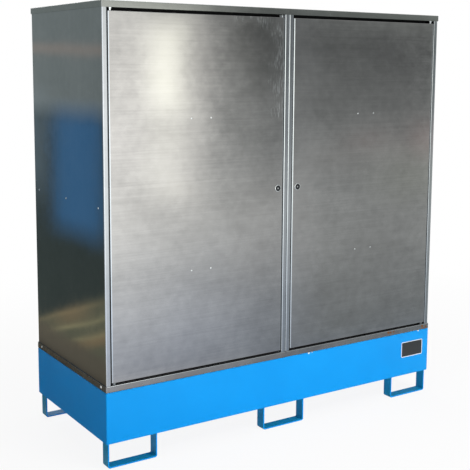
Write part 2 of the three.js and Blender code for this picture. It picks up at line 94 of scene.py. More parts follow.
class Side(Enum):
    """The two lockers of the cabinet."""

    LEFT = "left"
    RIGHT = "right"

    @property
    def sign(self) -> float:
        """The sign of X on this side."""
        return -1.0 if self is Side.LEFT else 1.0

    def of(self, stem: str) -> str:
        """The name of this side's node or piece."""
        return f"{stem}_{self.value}"

    def body(self, part: str) -> str:
        """The body that this side's door or lock moves with."""
        return f"{self.value}_{part}"

    def ends(self, low: Vector, high: Vector) -> Pair:
        """The X of a box's outer end and of its inner end."""
        return (low.x, high.x) if self is Side.LEFT else (high.x, low.x)


class Axis(Enum):
    """An axis of the frame. A folded section runs along one, with its path in the plane across it."""

    X = 0
    Y = 1
    Z = 2

    def place(self, pair: Pair, along: float) -> Vector:
        """Puts a point of the plane across this axis in space.

        Args:
            pair: the point, in the order of the two axes left over.
            along: how far along this axis it lies.

        Returns:
            The point in space.
        """
        numbers = list(pair)
        numbers.insert(self.value, along)
        return Vector(numbers)

    def meets(self, pair: Pair, *points: Vector) -> bool:
        """True if all the points lie on the line that a path point draws along this axis."""
        return all((point - self.place(pair, point[self.value])).length < TOUCH for point in points)

    def level(self, value: float) -> Test:
        """A test for the edges that lie at one level of this axis."""
        return lambda a, b: near(a[self.value], value) and near(b[self.value], value)


@dataclass(frozen=True)
class Round:
    """The rounding of an edge: its radius and how many flats draw it."""

    radius: float
    steps: int


def near(one: float, other: float) -> bool:
    """True if two lengths are the same within the modelling tolerance."""
    return abs(one - other) < TOUCH


def upright(a: Vector, b: Vector) -> bool:
    """True for an edge that runs straight up."""
    return near(a.x, b.x) and near(a.y, b.y)


def on_upright_fold(middle: Vector, normal: Vector) -> bool:
    """True for a face in the round of an upright fold."""
    return abs(normal.z) < ALONG_FOLD and min(abs(normal.x), abs(normal.y)) > BOTH_WAYS


def facing(direction: Vector, least: float = ROUGHLY) -> Test:
    """A test for the faces that look one way."""
    return lambda middle, normal: normal.dot(direction) > least


def flat_at(direction: Vector, point: Vector) -> Test:
    """A test for the flat faces that look one way and lie level with a point."""
    square = facing(direction, SQUARE)
    return lambda middle, normal: square(middle, normal) and near((middle - point).dot(direction), 0.0)


def off_axis(point: Vector, centre: Vector) -> float:
    """How far a point lies from the axis that runs through a centre along Y."""
    return math.hypot(point.x - centre.x, point.z - centre.z)


def deselect_everything() -> None:
    """Leaves edit mode and unselects every object, so that an operator acts on the next piece alone."""
    if bpy.context.object and bpy.context.object.mode != "OBJECT":
        bpy.ops.object.mode_set(mode="OBJECT")
    bpy.ops.object.select_all(action="DESELECT")


class Workpiece:
    """A mesh on the bench, shaped in edit mode and finished with applied modifiers."""

    def __init__(self, thing: bpy.types.Object, name: str) -> None:
        """Names the object that is being shaped."""
        self.thing = thing
        thing.name = thing.data.name = name

    @classmethod
    def _placed(cls, name: str) -> "Workpiece":
        """Takes the new primitive, with its place moved into its mesh."""
        bpy.ops.object.transform_apply(location=True, rotation=True, scale=True)
        return cls(bpy.context.object, name)

    @classmethod
    def block(cls, name: str, low: Vector, high: Vector) -> "Workpiece":
        """Starts a piece from a cuboid.

        Args:
            name: the name of the piece.
            low: its lowest corner.
            high: its highest corner.

        Returns:
            The new piece.
        """
        deselect_everything()
        bpy.ops.mesh.primitive_cube_add(size=1.0, location=(low + high) / 2, scale=high - low)
        return cls._placed(name)

    @classmethod
    def leaf(cls, name: str, corner: Vector, along: Vector, reach: Vector) -> "Workpiece":
        """Starts a piece from a flat rectangle.

        Args:
            name: the name of the piece.
            corner: one corner of it.
            along: the edge that leaves the corner one way.
            reach: the edge that leaves the corner the other way.

        Returns:
            The new piece.
        """
        deselect_everything()
        across = along.cross(reach).normalized()
        turn = Matrix((along.normalized(), reach.normalized(), across)).transposed().to_euler()
        bpy.ops.mesh.primitive_plane_add(size=1.0, location=corner + (along + reach) / 2, rotation=turn)
        bpy.context.object.scale = (along.length, reach.length, 1.0)
        return cls._placed(name)

    @classmethod
    def bar(cls, name: str, radius: float, start: Vector, end: Vector, sides: int) -> "Workpiece":
        """Starts a piece from a round bar.

        Args:
            name: the name of the piece.
            radius: its radius.
            start: the middle of its first end.
            end: the middle of its other end.
            sides: how many flats draw its round.

        Returns:
            The new piece.
        """
        deselect_everything()
        axis = end - start
        turn = axis.to_track_quat("Z", "Y").to_euler()
        bpy.ops.mesh.primitive_cylinder_add(
            vertices=sides, radius=radius, depth=axis.length, location=(start + end) / 2, rotation=turn
        )
        return cls._placed(name)

    @classmethod
    def head(cls, radius: float, flatness: float, under: Vector, segments: int = 14) -> "Workpiece":
        """Starts the domed head of a rivet or screw, at the origin.

        Args:
            radius: the radius of the head.
            flatness: its height as a share of its radius.
            under: the way that its flat side looks.
            segments: how many flats go round it.

        Returns:
            The head.
        """
        deselect_everything()
        bpy.ops.mesh.primitive_uv_sphere_add(segments=segments, ring_count=segments // 2 + 1, radius=radius)
        head = cls._placed("head_pattern")
        head._open("FACE", "SELECT")
        bpy.ops.mesh.bisect(plane_co=ORIGIN, plane_no=under, clear_outer=True, use_fill=True)
        bpy.ops.mesh.select_all(action="SELECT")
        return head.resize(Vector([flatness if part else 1.0 for part in under]))

    @classmethod
    def folded(cls, name: str, path: Sequence[Pair], run: Axis, ends: Pair, fold: Round) -> "Workpiece":
        """Starts a piece from a strip folded along a path, as on a press brake.

        Args:
            name: the name of the piece.
            path: the middle line of the sheet, corner by corner.
            run: the direction of the folds.
            ends: where the strip begins and ends along the run.
            fold: the round of the middle line in each fold.

        Returns:
            The folded strip, still without thickness.
        """
        corner = run.place(path[0], ends[0])
        along, reach = run.place(path[1], ends[0]) - corner, run.place(path[0], ends[1]) - corner
        piece = cls.leaf(name, corner, along, reach)
        for here, there in zip(path[1:], path[2:]):
            piece.pick_edges(lambda a, b: run.meets(here, a, b))
            piece.extrude(run.place(there, 0.0) - run.place(here, 0.0))
        return piece.round(lambda a, b: any(run.meets(pair, a, b) for pair in path[1:-1]), fold)

    def _open(self, mode: str, action: str = "DESELECT") -> bmesh.types.BMesh:
        """Enters edit mode with nothing or all selected.

        Args:
            mode: VERT, EDGE or FACE.
            action: DESELECT or SELECT.

        Returns:
            The mesh that is being edited.
        """
        if self.thing.mode != "EDIT":
            self._hold()
            bpy.ops.object.mode_set(mode="EDIT")
        bpy.ops.mesh.select_mode(type=mode)
        bpy.ops.mesh.select_all(action=action)
        return bmesh.from_edit_mesh(self.thing.data)

    def _hold(self) -> None:
        """Leaves edit mode with this piece alone selected and active."""
        deselect_everything()
        self.thing.select_set(True)
        bpy.context.view_layer.objects.active = self.thing

    def _pick(self, mode: str, test: Callable[[object], bool]) -> "Workpiece":
        """Selects faces or edges.

        Args:
            mode: FACE or EDGE.
            test: takes a face or an edge.

        Returns:
            The same piece.
        """
        mesh = self._open(mode)
        for item in [item for item in (mesh.faces if mode == "FACE" else mesh.edges) if test(item)]:
            item.select_set(True)
        bmesh.update_edit_mesh(self.thing.data)
        return self

    def pick_faces(self, test: Test) -> "Workpiece":
        """Selects the faces whose middle and normal pass a test."""
        return self._pick("FACE", lambda face: test(face.calc_center_median(), face.normal))

    def pick_edges(self, test: Test) -> "Workpiece":
        """Selects the edges whose two ends pass a test."""
        return self._pick("EDGE", lambda edge: test(edge.verts[0].co, edge.verts[1].co))

    def extrude(self, move: Vector) -> "Workpiece":
        """Extrudes what is selected by a move."""
        bpy.ops.mesh.extrude_region_move(TRANSFORM_OT_translate={"value": move})
        return self

    def resize(self, factors: Vector) -> "Workpiece":
        """Scales what is selected about the origin."""
        bpy.ops.transform.resize(value=factors, center_override=ORIGIN)
        return self

    def inset(self, width: float) -> "Workpiece":
        """Insets the selected faces as one region."""
        bpy.ops.mesh.inset(thickness=width, depth=0.0, use_even_offset=True, use_boundary=True)
        return self

    def round(self, test: Test, size: Round) -> "Workpiece":
        """Rounds edges.

        Args:
            test: takes the two ends of an edge.
            size: the radius and its flats.

        Returns:
            The same piece.
        """
        self.pick_edges(test)
        bpy.ops.mesh.bevel(
            offset_type="OFFSET",
            offset=size.radius,
            segments=size.steps,
            profile=0.5,
            affect="EDGES",
            clamp_overlap=False,
        )
        return self

    def open_up(self, test: Test, rim: float = 0.0) -> "Workpiece":
        """Removes faces, or all of them but a rim.

        Args:
            test: takes a face's middle and normal.
            rim: the width that stays along their border.

        Returns:
            The same piece.
        """
        self.pick_faces(test)
        if rim:
            self.inset(rim)
        bpy.ops.mesh.delete(type="FACE")
        return self

    def modify(self, kind: str, **settings: object) -> "Workpiece":
        """Adds a modifier and applies it.

        Args:
            kind: the modifier's type.
            **settings: its settings by name.

        Returns:
            The same piece.
        """
        self._hold()
        modifier = self.thing.modifiers.new(kind, kind)
        for key, value in settings.items():
            setattr(modifier, key, value)
        bpy.ops.object.modifier_apply(modifier=modifier.name)
        return self

    def thicken(self, thickness: float, offset: float = -1.0) -> "Workpiece":
        """Gives a skin its sheet thickness.

        Args:
            thickness: the thickness of the sheet.
            offset: -1 puts it inside the skin, 0 half on each side.

        Returns:
            The same piece.
        """
        self.modify("SOLIDIFY", thickness=thickness, offset=offset, use_even_offset=True)
        self._open("FACE", "SELECT")
        bpy.ops.mesh.normals_make_consistent(inside=False)
        return self

    def ease(self, edge: Round, angle: float = 50.0) -> "Workpiece":
        """Takes the sharpness off all edges above an angle in degrees."""
        settings = {"width": edge.radius, "segments": edge.steps, "angle_limit": math.radians(angle)}
        return self.modify("BEVEL", limit_method="ANGLE", **settings)

    def cut(self, tool: "Workpiece") -> "Workpiece":
        """Cuts another piece out of this one and uses it up.

        Args:
            tool: the other piece.

        Returns:
            The same piece.
        """
        tool._hold()
        self.modify("BOOLEAN", operation="DIFFERENCE", object=tool.thing, solver="EXACT")
        bpy.data.objects.remove(tool.thing)
        return self

    def _copy(self, name: str, move: Vector, mirrored: bool) -> "Workpiece":
        """Makes a copy with its own mesh.

        Args:
            name: the name of the copy.
            move: how far it is moved.
            mirrored: whether it is mirrored about the middle plane before the move.

        Returns:
            The copy.
        """
        self._hold()
        thing = self.thing.copy()
        thing.data = self.thing.data.copy()
        bpy.context.collection.objects.link(thing)
        twin = Workpiece(thing, name)
        twin._hold()
        thing.scale = (-1.0 if mirrored else 1.0, 1.0, 1.0)
        thing.location = move
        bpy.ops.object.transform_apply(location=True, rotation=True, scale=True)
        if mirrored:
            twin._open("FACE", "SELECT")
            bpy.ops.mesh.remove_doubles(threshold=DOUBLE)
            bpy.ops.mesh.normals_make_consistent(inside=False)
        return twin

    def join(self, *others: "Workpiece") -> "Workpiece":
        """Joins other pieces into this one.

        Args:
            *others: the other pieces.

        Returns:
            The same piece.
        """
        self._hold()
        for other in others:
            other.thing.select_set(True)
        bpy.ops.object.join()
        return self

    def repeat(self, name: str, places: Sequence[Vector], mirrored: bool = False) -> "Workpiece":
        """Copies the piece to several places as one new piece, and uses it up.

        Args:
            name: the name of the new piece.
            places: where the copies go.
            mirrored: whether they are mirrored about the middle plane first.

        Returns:
            The joined copies.
        """
        copies = [self._copy(name, place, mirrored) for place in places]
        deselect_everything()
        bpy.data.objects.remove(self.thing)
        return copies[0].join(*copies[1:])

    def paint(self, *finishes: "Finish") -> "Workpiece":
        """Gives the piece its finishes, the first one on every face.

        Args:
            *finishes: the finishes, in the order of the slots.

        Returns:
            The same piece.
        """
        self._hold()
        self.thing.data.materials.clear()
        for finish in finishes:
            self.thing.data.materials.append(finish.material)
        return self

    def paint_faces(self, index: int, test: Test) -> "Workpiece":
        """Gives some faces another of the piece's finishes.

        Args:
            index: the slot of the finish.
            test: takes a face's middle and normal.

        Returns:
            The same piece.
        """
        self.pick_faces(test)
        self.thing.active_material_index = index
        bpy.ops.object.material_slot_assign()
        self._hold()
        return self

    def settle(self, body: str, slot: str, *nodes: str) -> None:
        """Smooths the piece, hands it to its body and logs it.

        Args:
            body: the body that it moves with.
            slot: not used.
            *nodes: the CAD nodes that it stands for.
        """
        self._hold()
        bpy.ops.object.shade_smooth_by_angle(angle=SMOOTH_ANGLE)
        self.modify("WEIGHTED_NORMAL", mode="FACE_AREA", weight=50, keep_sharp=True)
        deselect_everything()
        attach(self.thing, body)
        if nodes:
            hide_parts(*nodes)
        log.info("%s: %d faces", self.thing.name, len(self.thing.data.polygons))


# Finishes


def linear(shade: str) -> Colour:
    """Turns an sRGB hex colour into Blender's linear colour.

    Args:
        shade: six hex digits.

    Returns:
        Red, green, blue and alpha.
    """
    parts = [int(shade[i:i + 2], 16) / 255 for i in (0, 2, 4)]
    red, green, blue = [c / 12.92 if c <= 0.04045 else ((c + 0.055) / 1.055) ** 2.4 for c in parts]
    return red, green, blue, 1.0


@dataclass(frozen=True)
class Pattern:
    """A noise: the real size of its cells in metres, its finer octaves, and its stretch along X, Y and Z."""

    pitch: float
    detail: float
    rough: float = 0.5
    stretch: Triple = (1.0, 1.0, 1.0)


class NodeBench:
    """A node tree that is being filled, with the few patterns that the finishes share."""

    def __init__(self, tree: bpy.types.NodeTree) -> None:
        """Empties the tree."""
        self.tree = tree
        tree.nodes.clear()

    @classmethod
    def blank(cls, name: str) -> tuple[bpy.types.Material, "NodeBench"]:
        """Starts a material.

        Args:
            name: its name.

        Returns:
            The material and the bench with its empty tree.
        """
        material = bpy.data.materials.new(name)
        material.use_nodes = True
        return material, cls(material.node_tree)

    def add(self, kind: str, feeds: Feeds | None = None, **settings: object) -> bpy.types.bpy_prop_collection:
        """Adds a node with its settings, values and links.

        Args:
            kind: the node's type.
            feeds: what goes into each input: a value, or the output that it is linked to.
            **settings: the node's own settings.

        Returns:
            The outputs of the new node.
        """
        node = self.tree.nodes.new(f"ShaderNode{kind}")
        for key, value in settings.items():
            setattr(node, key, value)
        for key, value in (feeds or {}).items():
            if isinstance(value, bpy.types.NodeSocket):
                self.tree.links.new(value, node.inputs[key])
            else:
                node.inputs[key].default_value = value
        return node.outputs

    def drawn(self, pattern: Pattern) -> Socket:
        """Draws a pattern on Object coordinates.

        Args:
            pattern: the pattern.

        Returns:
            Its value, about 0.5 in the middle.
        """
        scale = [1.0 / size for size in Vector(pattern.stretch) * pattern.pitch]
        place = self.add("Mapping", {"Vector": self.add("TexCoord")["Object"], "Scale": scale})[0]
        feeds = {"Vector": place, "Scale": 1.0, "Detail": pattern.detail, "Roughness": pattern.rough}
        return self.add("TexNoise", feeds)[0]

    def weighed(self, values: Sequence[Socket], weights: Sequence[float]) -> Socket:
        """Adds several values, each times its weight.

        Args:
            values: the values.
            weights: their weights.

        Returns:
            The sum.
        """
        total: object = 0.0
        for value, weight in zip(values, weights):
            total = self.add("Math", {0: value, 1: weight, 2: total}, operation="MULTIPLY_ADD")[0]
        return total

    def relief(self, *layers: tuple[Pattern, float]) -> Feeds:
        """Makes a surface uneven.

        Args:
            *layers: patterns, each with its height in metres.

        Returns:
            What the shader takes as its normal.
        """
        normal: Feeds = {}
        for pattern, height in layers:
            feeds = {"Height": self.drawn(pattern), "Distance": height, "Strength": 1.0, **normal}
            normal = {"Normal": self.add("Bump", feeds)[0]}
        return normal


@dataclass(frozen=True)
class Marks:
    """Ragged spots of one kind, each with its X, Y, Z and radius.

    Noise eats into the edge by the ragged share. Its cells have a pitch for all the spots, and a share of
    each one's radius on top. The edge fades over the soft share of the radius. Real scratches are under 1 mm
    wide. Their flecks are drawn 6 mm wide and 30 mm high, so that they show.
    """

    places: tuple[Spot, ...]
    shade: str
    ragged: float = 0.5
    pitch: float = 0.0
    pitch_share: float = 0.0
    soft: float = 0.3
    strength: float = 1.0
    flecked: bool = False
    flecks: Pattern = Pattern(0.006, 3.0, stretch=(1.0, 1.0, 5.0))
    fleck_limits: Pair = (0.48, 0.72)

    def lay(self, bench: NodeBench, colour: Socket) -> Socket:
        """Lays the spots over a colour.

        Args:
            bench: the node tree.
            colour: the colour under them.

        Returns:
            The colour with the spots.
        """
        coords = bench.add("TexCoord")["Object"]
        end = MARK_REACH + self.ragged
        for *centre, radius in self.places:
            away = bench.add("VectorMath", {0: coords, 1: centre}, operation="DISTANCE")["Value"]
            cells = bench.drawn(Pattern(self.pitch + self.pitch_share * radius, 2.0))
            # The noise is 0.5 on average, so twice of it is 1.
            edge = bench.weighed((away, cells), (1.0 / radius, self.ragged * 2))
            share = bench.add("MapRange", {0: edge, 1: end, 2: end - self.soft, 4: self.strength})[0]
            if self.flecked:
                low, high = self.fleck_limits
                flecks = bench.add("MapRange", {0: bench.drawn(self.flecks), 1: low, 2: high})[0]
                share = bench.add("Math", {0: share, 1: flecks}, operation="MULTIPLY")[0]
            colour = bench.add("Mix", {0: share, 6: colour, 7: linear(self.shade)}, data_type="RGBA")[2]
        return colour


@dataclass(frozen=True)
class Skin:
    """What every finish has: its name, and its colour and roughness where its pattern is low and high.

    The limits are the values at which the pattern counts as low and high.
    """

    name: str
    low: str
    high: str
    gloss: Pair
    marks: tuple[Marks, ...] = ()
    limits: Pair = (0.3, 0.7)

    def tones(self, bench: NodeBench, tone: Socket, sheen: Socket) -> Feeds:
        """Spreads the colours and the roughness over patterns, and lays the marks over them.

        Args:
            bench: the node tree.
            tone: the pattern of the colour.
            sheen: the pattern of the roughness.

        Returns:
            What the shader takes as its colour and roughness.
        """
        span = {1: self.limits[0], 2: self.limits[1]}
        share = bench.add("MapRange", {0: tone, **span})[0]
        ends = {6: linear(self.low), 7: linear(self.high)}
        colour = bench.add("Mix", {0: share, **ends}, data_type="RGBA")[2]
        for marks in self.marks:
            colour = marks.lay(bench, colour)
        rough = bench.add("MapRange", {0: sheen, **span, 3: self.gloss[0], 4: self.gloss[1]})[0]
        return {"Base Color": colour, "Roughness": rough}

    def feeds(self, bench: NodeBench) -> Feeds:
        """What the shader takes. Each kind of finish has its own."""
        raise NotImplementedError

    def make(self) -> bpy.types.Material:
        """Builds the material.

        Returns:
            The material.
        """
        material, bench = NodeBench.blank(self.name)
        bench.add("OutputMaterial", {"Surface": bench.add("BsdfPrincipled", self.feeds(bench))[0]})
        return material


class Grain(Enum):
    """Which way the rolling streaks of a sheet run, as stretch factors along X, Y and Z."""

    UPRIGHT = (1.0, 1.0, 60.0)
    ACROSS = (60.0, 1.0, 1.0)


@dataclass(frozen=True)
class RolledZinc(Skin):
    """Hot-dip galvanised steel sheet, cold rolled: grey satin metal, fine rolling streaks, soft clouds.

    The streaks of the real sheet are under 1 mm apart. They are drawn 5 and 14 mm apart, so that they
    show at the size of the picture.
    """

    grain: Grain = Grain.UPRIGHT
    fine: Pattern = Pattern(0.005, 3.0, 0.6)
    wide: Pattern = Pattern(0.014, 2.0)
    cloud: Pattern = Pattern(0.16, 3.0, 0.55, (1.3, 1.3, 1.0))
    mottle: Pattern = Pattern(0.035, 3.0, 0.6, (1.2, 1.2, 1.0))
    wave: Pattern = Pattern(0.42, 1.0)
    wave_height: float = 0.0006
    dent: Pattern = Pattern(0.075, 1.0, 0.5, (1.0, 1.0, 1.3))
    dent_height: float = 0.00017
    tone_shares: tuple[float, ...] = (0.2, 0.1, 0.4, 0.3)
    gloss_shares: tuple[float, ...] = (0.2, 0.0, 0.4, 0.4)
    limits: Pair = (0.36, 0.64)

    def feeds(self, bench: NodeBench) -> Feeds:
        """Draws streaks, clouds and marks on a sheet that is never quite flat.

        Args:
            bench: the node tree.

        Returns:
            What the shader takes.
        """
        streaks = [replace(streak, stretch=self.grain.value) for streak in (self.fine, self.wide)]
        layers = [bench.drawn(pattern) for pattern in (*streaks, self.cloud, self.mottle)]
        tone, sheen = (bench.weighed(layers, shares) for shares in (self.tone_shares, self.gloss_shares))
        relief = bench.relief((self.wave, self.wave_height), (self.dent, self.dent_height))
        return {**self.tones(bench, tone, sheen), "Metallic": 1.0, **relief}


@dataclass(frozen=True)
class Paint(Skin):
    """A coat of paint: faint clouds in tone and gloss, and layers of unevenness where it has them."""

    gloss: Pair = (0.3, 0.42)
    shine: float = 0.5
    cloud: Pattern = Pattern(0.02, 3.0, 0.5, (1.5, 1.5, 1.0))
    layers: tuple[tuple[Pattern, float], ...] = ()

    def feeds(self, bench: NodeBench) -> Feeds:
        """Draws the coat.

        Args:
            bench: the node tree.

        Returns:
            What the shader takes.
        """
        cloud = bench.drawn(self.cloud)
        settings = {"IOR": PAINT_IOR, "Specular IOR Level": self.shine}
        return {**self.tones(bench, cloud, cloud), **settings, **bench.relief(*self.layers)}


@dataclass(frozen=True)
class PowderCoat(Paint):
    """Powder coat on steel, baked: an even blue skin with a low gloss, a faint orange peel and a few chips.

    The peel of the real coat is about 1 mm across. It is drawn 6 mm across, so that it shows.
    """

    gloss: Pair = (0.34, 0.44)
    shine: float = 0.09
    cloud: Pattern = Pattern(0.3, 3.0)
    layers: tuple[tuple[Pattern, float], ...] = ((Pattern(0.006, 1.0), 0.00006),)


@dataclass(frozen=True)
class Lacquer(Paint):
    """Stove lacquer on thin sheet: a slightly uneven skin with a soft gloss."""


@dataclass(frozen=True)
class PlainMetal(Skin):
    """A small metal part, turned, plated or blackened: one colour with faint wear in tone and gloss."""

    wear: Pattern = Pattern(0.004, 3.0)
    limits: Pair = (0.35, 0.65)

    def feeds(self, bench: NodeBench) -> Feeds:
        """Draws the wear. Returns what the shader takes."""
        wear = bench.drawn(self.wear)
        return {**self.tones(bench, wear, wear), "Metallic": 1.0}


# Painted shade: dull patches painted into the colour high on the left door, standing in for dark parts of its
# reflection.
PAINTED_REFLECTION_SHADE = Marks(
    ((-0.16, -0.37, 1.65, 0.16), (-0.22, -0.37, 1.79, 0.09), (-0.10, -0.37, 1.76, 0.10)),
    "5c5d5b", ragged=0.8, pitch_share=0.5, soft=1.0, strength=0.42,
)
# Bright scratches down the lock side of that door and along its top.
SCUFFS = Marks(
    (
        (-0.05, -0.37, 1.76, 0.06), (-0.045, -0.37, 1.66, 0.06), (-0.045, -0.37, 1.56, 0.06),
        (-0.05, -0.37, 1.45, 0.06), (-0.26, -0.37, 1.845, 0.03), (-0.19, -0.37, 1.85, 0.03),
        (-0.13, -0.37, 1.83, 0.04),
    ),
    "d2d6d8", ragged=0.8, pitch_share=0.5, soft=0.6, strength=0.36, flecked=True,
)
# Rust at the cut edge of the right base frame.
RUST_STAINS = Marks(
    (
        (0.846, -0.371, 0.341, 0.007), (0.853, -0.371, 0.330, 0.005), (0.871, -0.371, 0.335, 0.006),
        (0.62, -0.371, 0.342, 0.007), (0.635, -0.371, 0.340, 0.006), (0.655, -0.371, 0.341, 0.005),
    ),
    "8a5a34", pitch_share=1 / 3,
)
# Chips in the sump's coat, just under its rim.
CHIPS = Marks(
    ((0.132, -0.3705, 0.3225, 0.006), (0.151, -0.3705, 0.3235, 0.004), (0.82, -0.3705, 0.3225, 0.005)),
    "d8e4ea", pitch=0.004,
)


class Finish(Enum):
    """Every finish of the cabinet. Its material is made once."""

    # The door's colour carries painted shade high on the left door, and bright scratches.
    DOOR = RolledZinc(
        "galvanised_sheet_door", "797979", "8b8b8b", (0.12, 0.22), (PAINTED_REFLECTION_SHADE, SCUFFS), grain=Grain.ACROSS
    )
    PANEL = RolledZinc("galvanised_sheet_panel", "757879", "808283", (0.08, 0.14))
    # Painted highlight: a lighter copy of the sheet for the rounds of folds and hems, so that they show as
    # bright lines.
    FOLD = RolledZinc("galvanised_sheet_fold_painted_highlight", "919698", "9b9fa2", (0.12, 0.2))
    # Painted light: a lighter copy of the side sheet for its faces that look to the front, where more light
    # falls.
    STILE = RolledZinc("galvanised_sheet_stile_painted_light", "818589", "8c9094", (0.13, 0.22))
    ROOF = RolledZinc("galvanised_sheet_roof", "6d706e", "787b79", (0.18, 0.28), grain=Grain.ACROSS)
    BASE = RolledZinc(
        "galvanised_sheet_base", "706f6e", "7e7f80", (0.2, 0.32), (RUST_STAINS,), grain=Grain.ACROSS
    )
    INNER = RolledZinc("galvanised_steel_inside", "686c6d", "7a7f80", (0.42, 0.56))
    COAT = PowderCoat("powder_coat_blue", "0895e6", "0a9bec", marks=(CHIPS,))
    # Painted shade: a greyer copy of the sump's blue paint, standing in for the shade on the feet's faces
    # that don't look to the front.
    FOOT_COAT = PowderCoat("powder_coat_foot_painted_shade", "1c90b8", "1e98c2", shine=0.07)
    # Painted shade: the header rail is near black, standing in for the dark gap above the doors.
    RAIL = Lacquer("near_black_rail_painted_shade", "0a0b0c", "0e0f10", (0.75, 0.85), shine=0.1)
    CHROME = PlainMetal("chromium_plate", "c9ccce", "b4b8ba", (0.12, 0.22))
    BRIGHT = PlainMetal("bright_zinc_plate", "c2c6c7", "a9adae", (0.22, 0.34))
    BLACK = PlainMetal("blackened_die_cast", "26282a", "35373a", (0.38, 0.5))
    PLATE = Lacquer("plate_lacquer", "101316", "171a1e")
    PLATE_BORDER = Lacquer("plate_pale_border", "dde6ee", "d2dce6")

    @property
    def material(self) -> bpy.types.Material:
        """The material of the finish, made when it is first asked for."""
        return bpy.data.materials.get(self.value.name) or self.value.make()


# Sub-assemblies


@dataclass(frozen=True)
class Sump:
    """The blue sump: one folded tray with rounded upright corners and a rim folded in over its opening."""

    node: str = "sump_tray"
    sheet: float = 0.003
    corner: Round = Round(0.005, 6)
    rim_edge: Round = Round(0.0035, 5)
    floor_edge: Round = Round(0.003, 4)
    rim_width: float = 0.028
    edge: Round = Round(0.0006, 2)

    def build(self) -> None:
        """Models the tray."""
        low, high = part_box(self.node)
        piece = Workpiece.block("sump_pan", low, high).round(upright, self.corner)
        piece.round(Axis.Z.level(high.z), self.rim_edge)
        piece.round(Axis.Z.level(low.z), self.floor_edge)
        piece.open_up(flat_at(UP, high), self.rim_width + self.sheet - self.rim_edge.radius)
        piece.thicken(self.sheet).ease(self.edge)
        piece.paint(Finish.COAT).settle("cabinet", "blue", self.node)


@dataclass(frozen=True)
class Feet:
    """Six feet of bent flat bar, each welded to the sump by a rippled bead along both sides of its legs."""

    nodes: tuple[str, ...] = tuple(
        f"foot_{row}_{place}" for row in ("front", "rear") for place in ("left", "middle", "right")
    )
    bar: float = 0.006
    bend: Round = Round(0.007, 8)
    edge: Round = Round(0.0009, 3)
    front_lean: float = 0.3
    bead_radius: float = 0.0032
    bead_sides: int = 10
    bead_sink: float = 0.0008
    ripples: int = 9
    ripple_swell: float = 1.16
    end_taper: float = 0.6

    def _foot(self, node: str) -> None:
        """Bends one foot.

        Args:
            node: the CAD node that it stands for.
        """
        low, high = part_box(node)
        half = self.bar / 2
        left, right, bottom = low.x + half, high.x - half, low.z + half
        path = ((left, high.z), (left, bottom), (right, bottom), (right, high.z))
        piece = Workpiece.folded(f"{node}_bar", path, Axis.Y, (low.y, high.y), self.bend)
        piece.thicken(self.bar, 0.0).ease(self.edge)
        # Painted shade: the feet get the shaded copy of the blue paint, and only their faces that look to the
        # front get the sump's own blue.
        piece.paint(Finish.FOOT_COAT, Finish.COAT).paint_faces(1, facing(FRONT, self.front_lean))
        piece.settle("cabinet", "footBlue", node)

    def _bead(self) -> Workpiece:
        """Makes one weld bead, as long as a foot is deep, at the origin.

        Returns:
            The bead.
        """
        low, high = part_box(self.nodes[0])
        half = (high.y - low.y) / 2 - self.bead_radius
        step = half / self.ripples
        bead = Workpiece.bar("foot_weld", self.bead_radius, FRONT * half, REAR * half, self.bead_sides)
        bead.pick_edges(lambda a, b: not near(a.y, b.y))
        bpy.ops.mesh.subdivide(number_cuts=self.ripples * 2 - 1)
        bead.pick_edges(lambda a, b: near(a.y, b.y) and round((a.y + half) / step) % 2 == 1)
        bead.resize(Vector((self.ripple_swell, 1.0, self.ripple_swell)))
        bead.pick_edges(lambda a, b: near(abs(a.y), half) and near(a.y, b.y))
        return bead.resize(Vector((self.end_taper, 1.0, self.end_taper)))

    def build(self) -> None:
        """Bends the six feet and lays their weld beads."""
        places = []
        for node in self.nodes:
            self._foot(node)
            low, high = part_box(node)
            middle, level = (low.y + high.y) / 2, high.z - self.bead_sink
            sides = (low.x, low.x + self.bar, high.x - self.bar, high.x)
            places += [Vector((x, middle, level)) for x in sides]
        welds = self._bead().repeat("foot_welds", places)
        # The beads get the shaded copy of the blue paint too.
        welds.paint(Finish.FOOT_COAT).settle("cabinet", "footBlue")


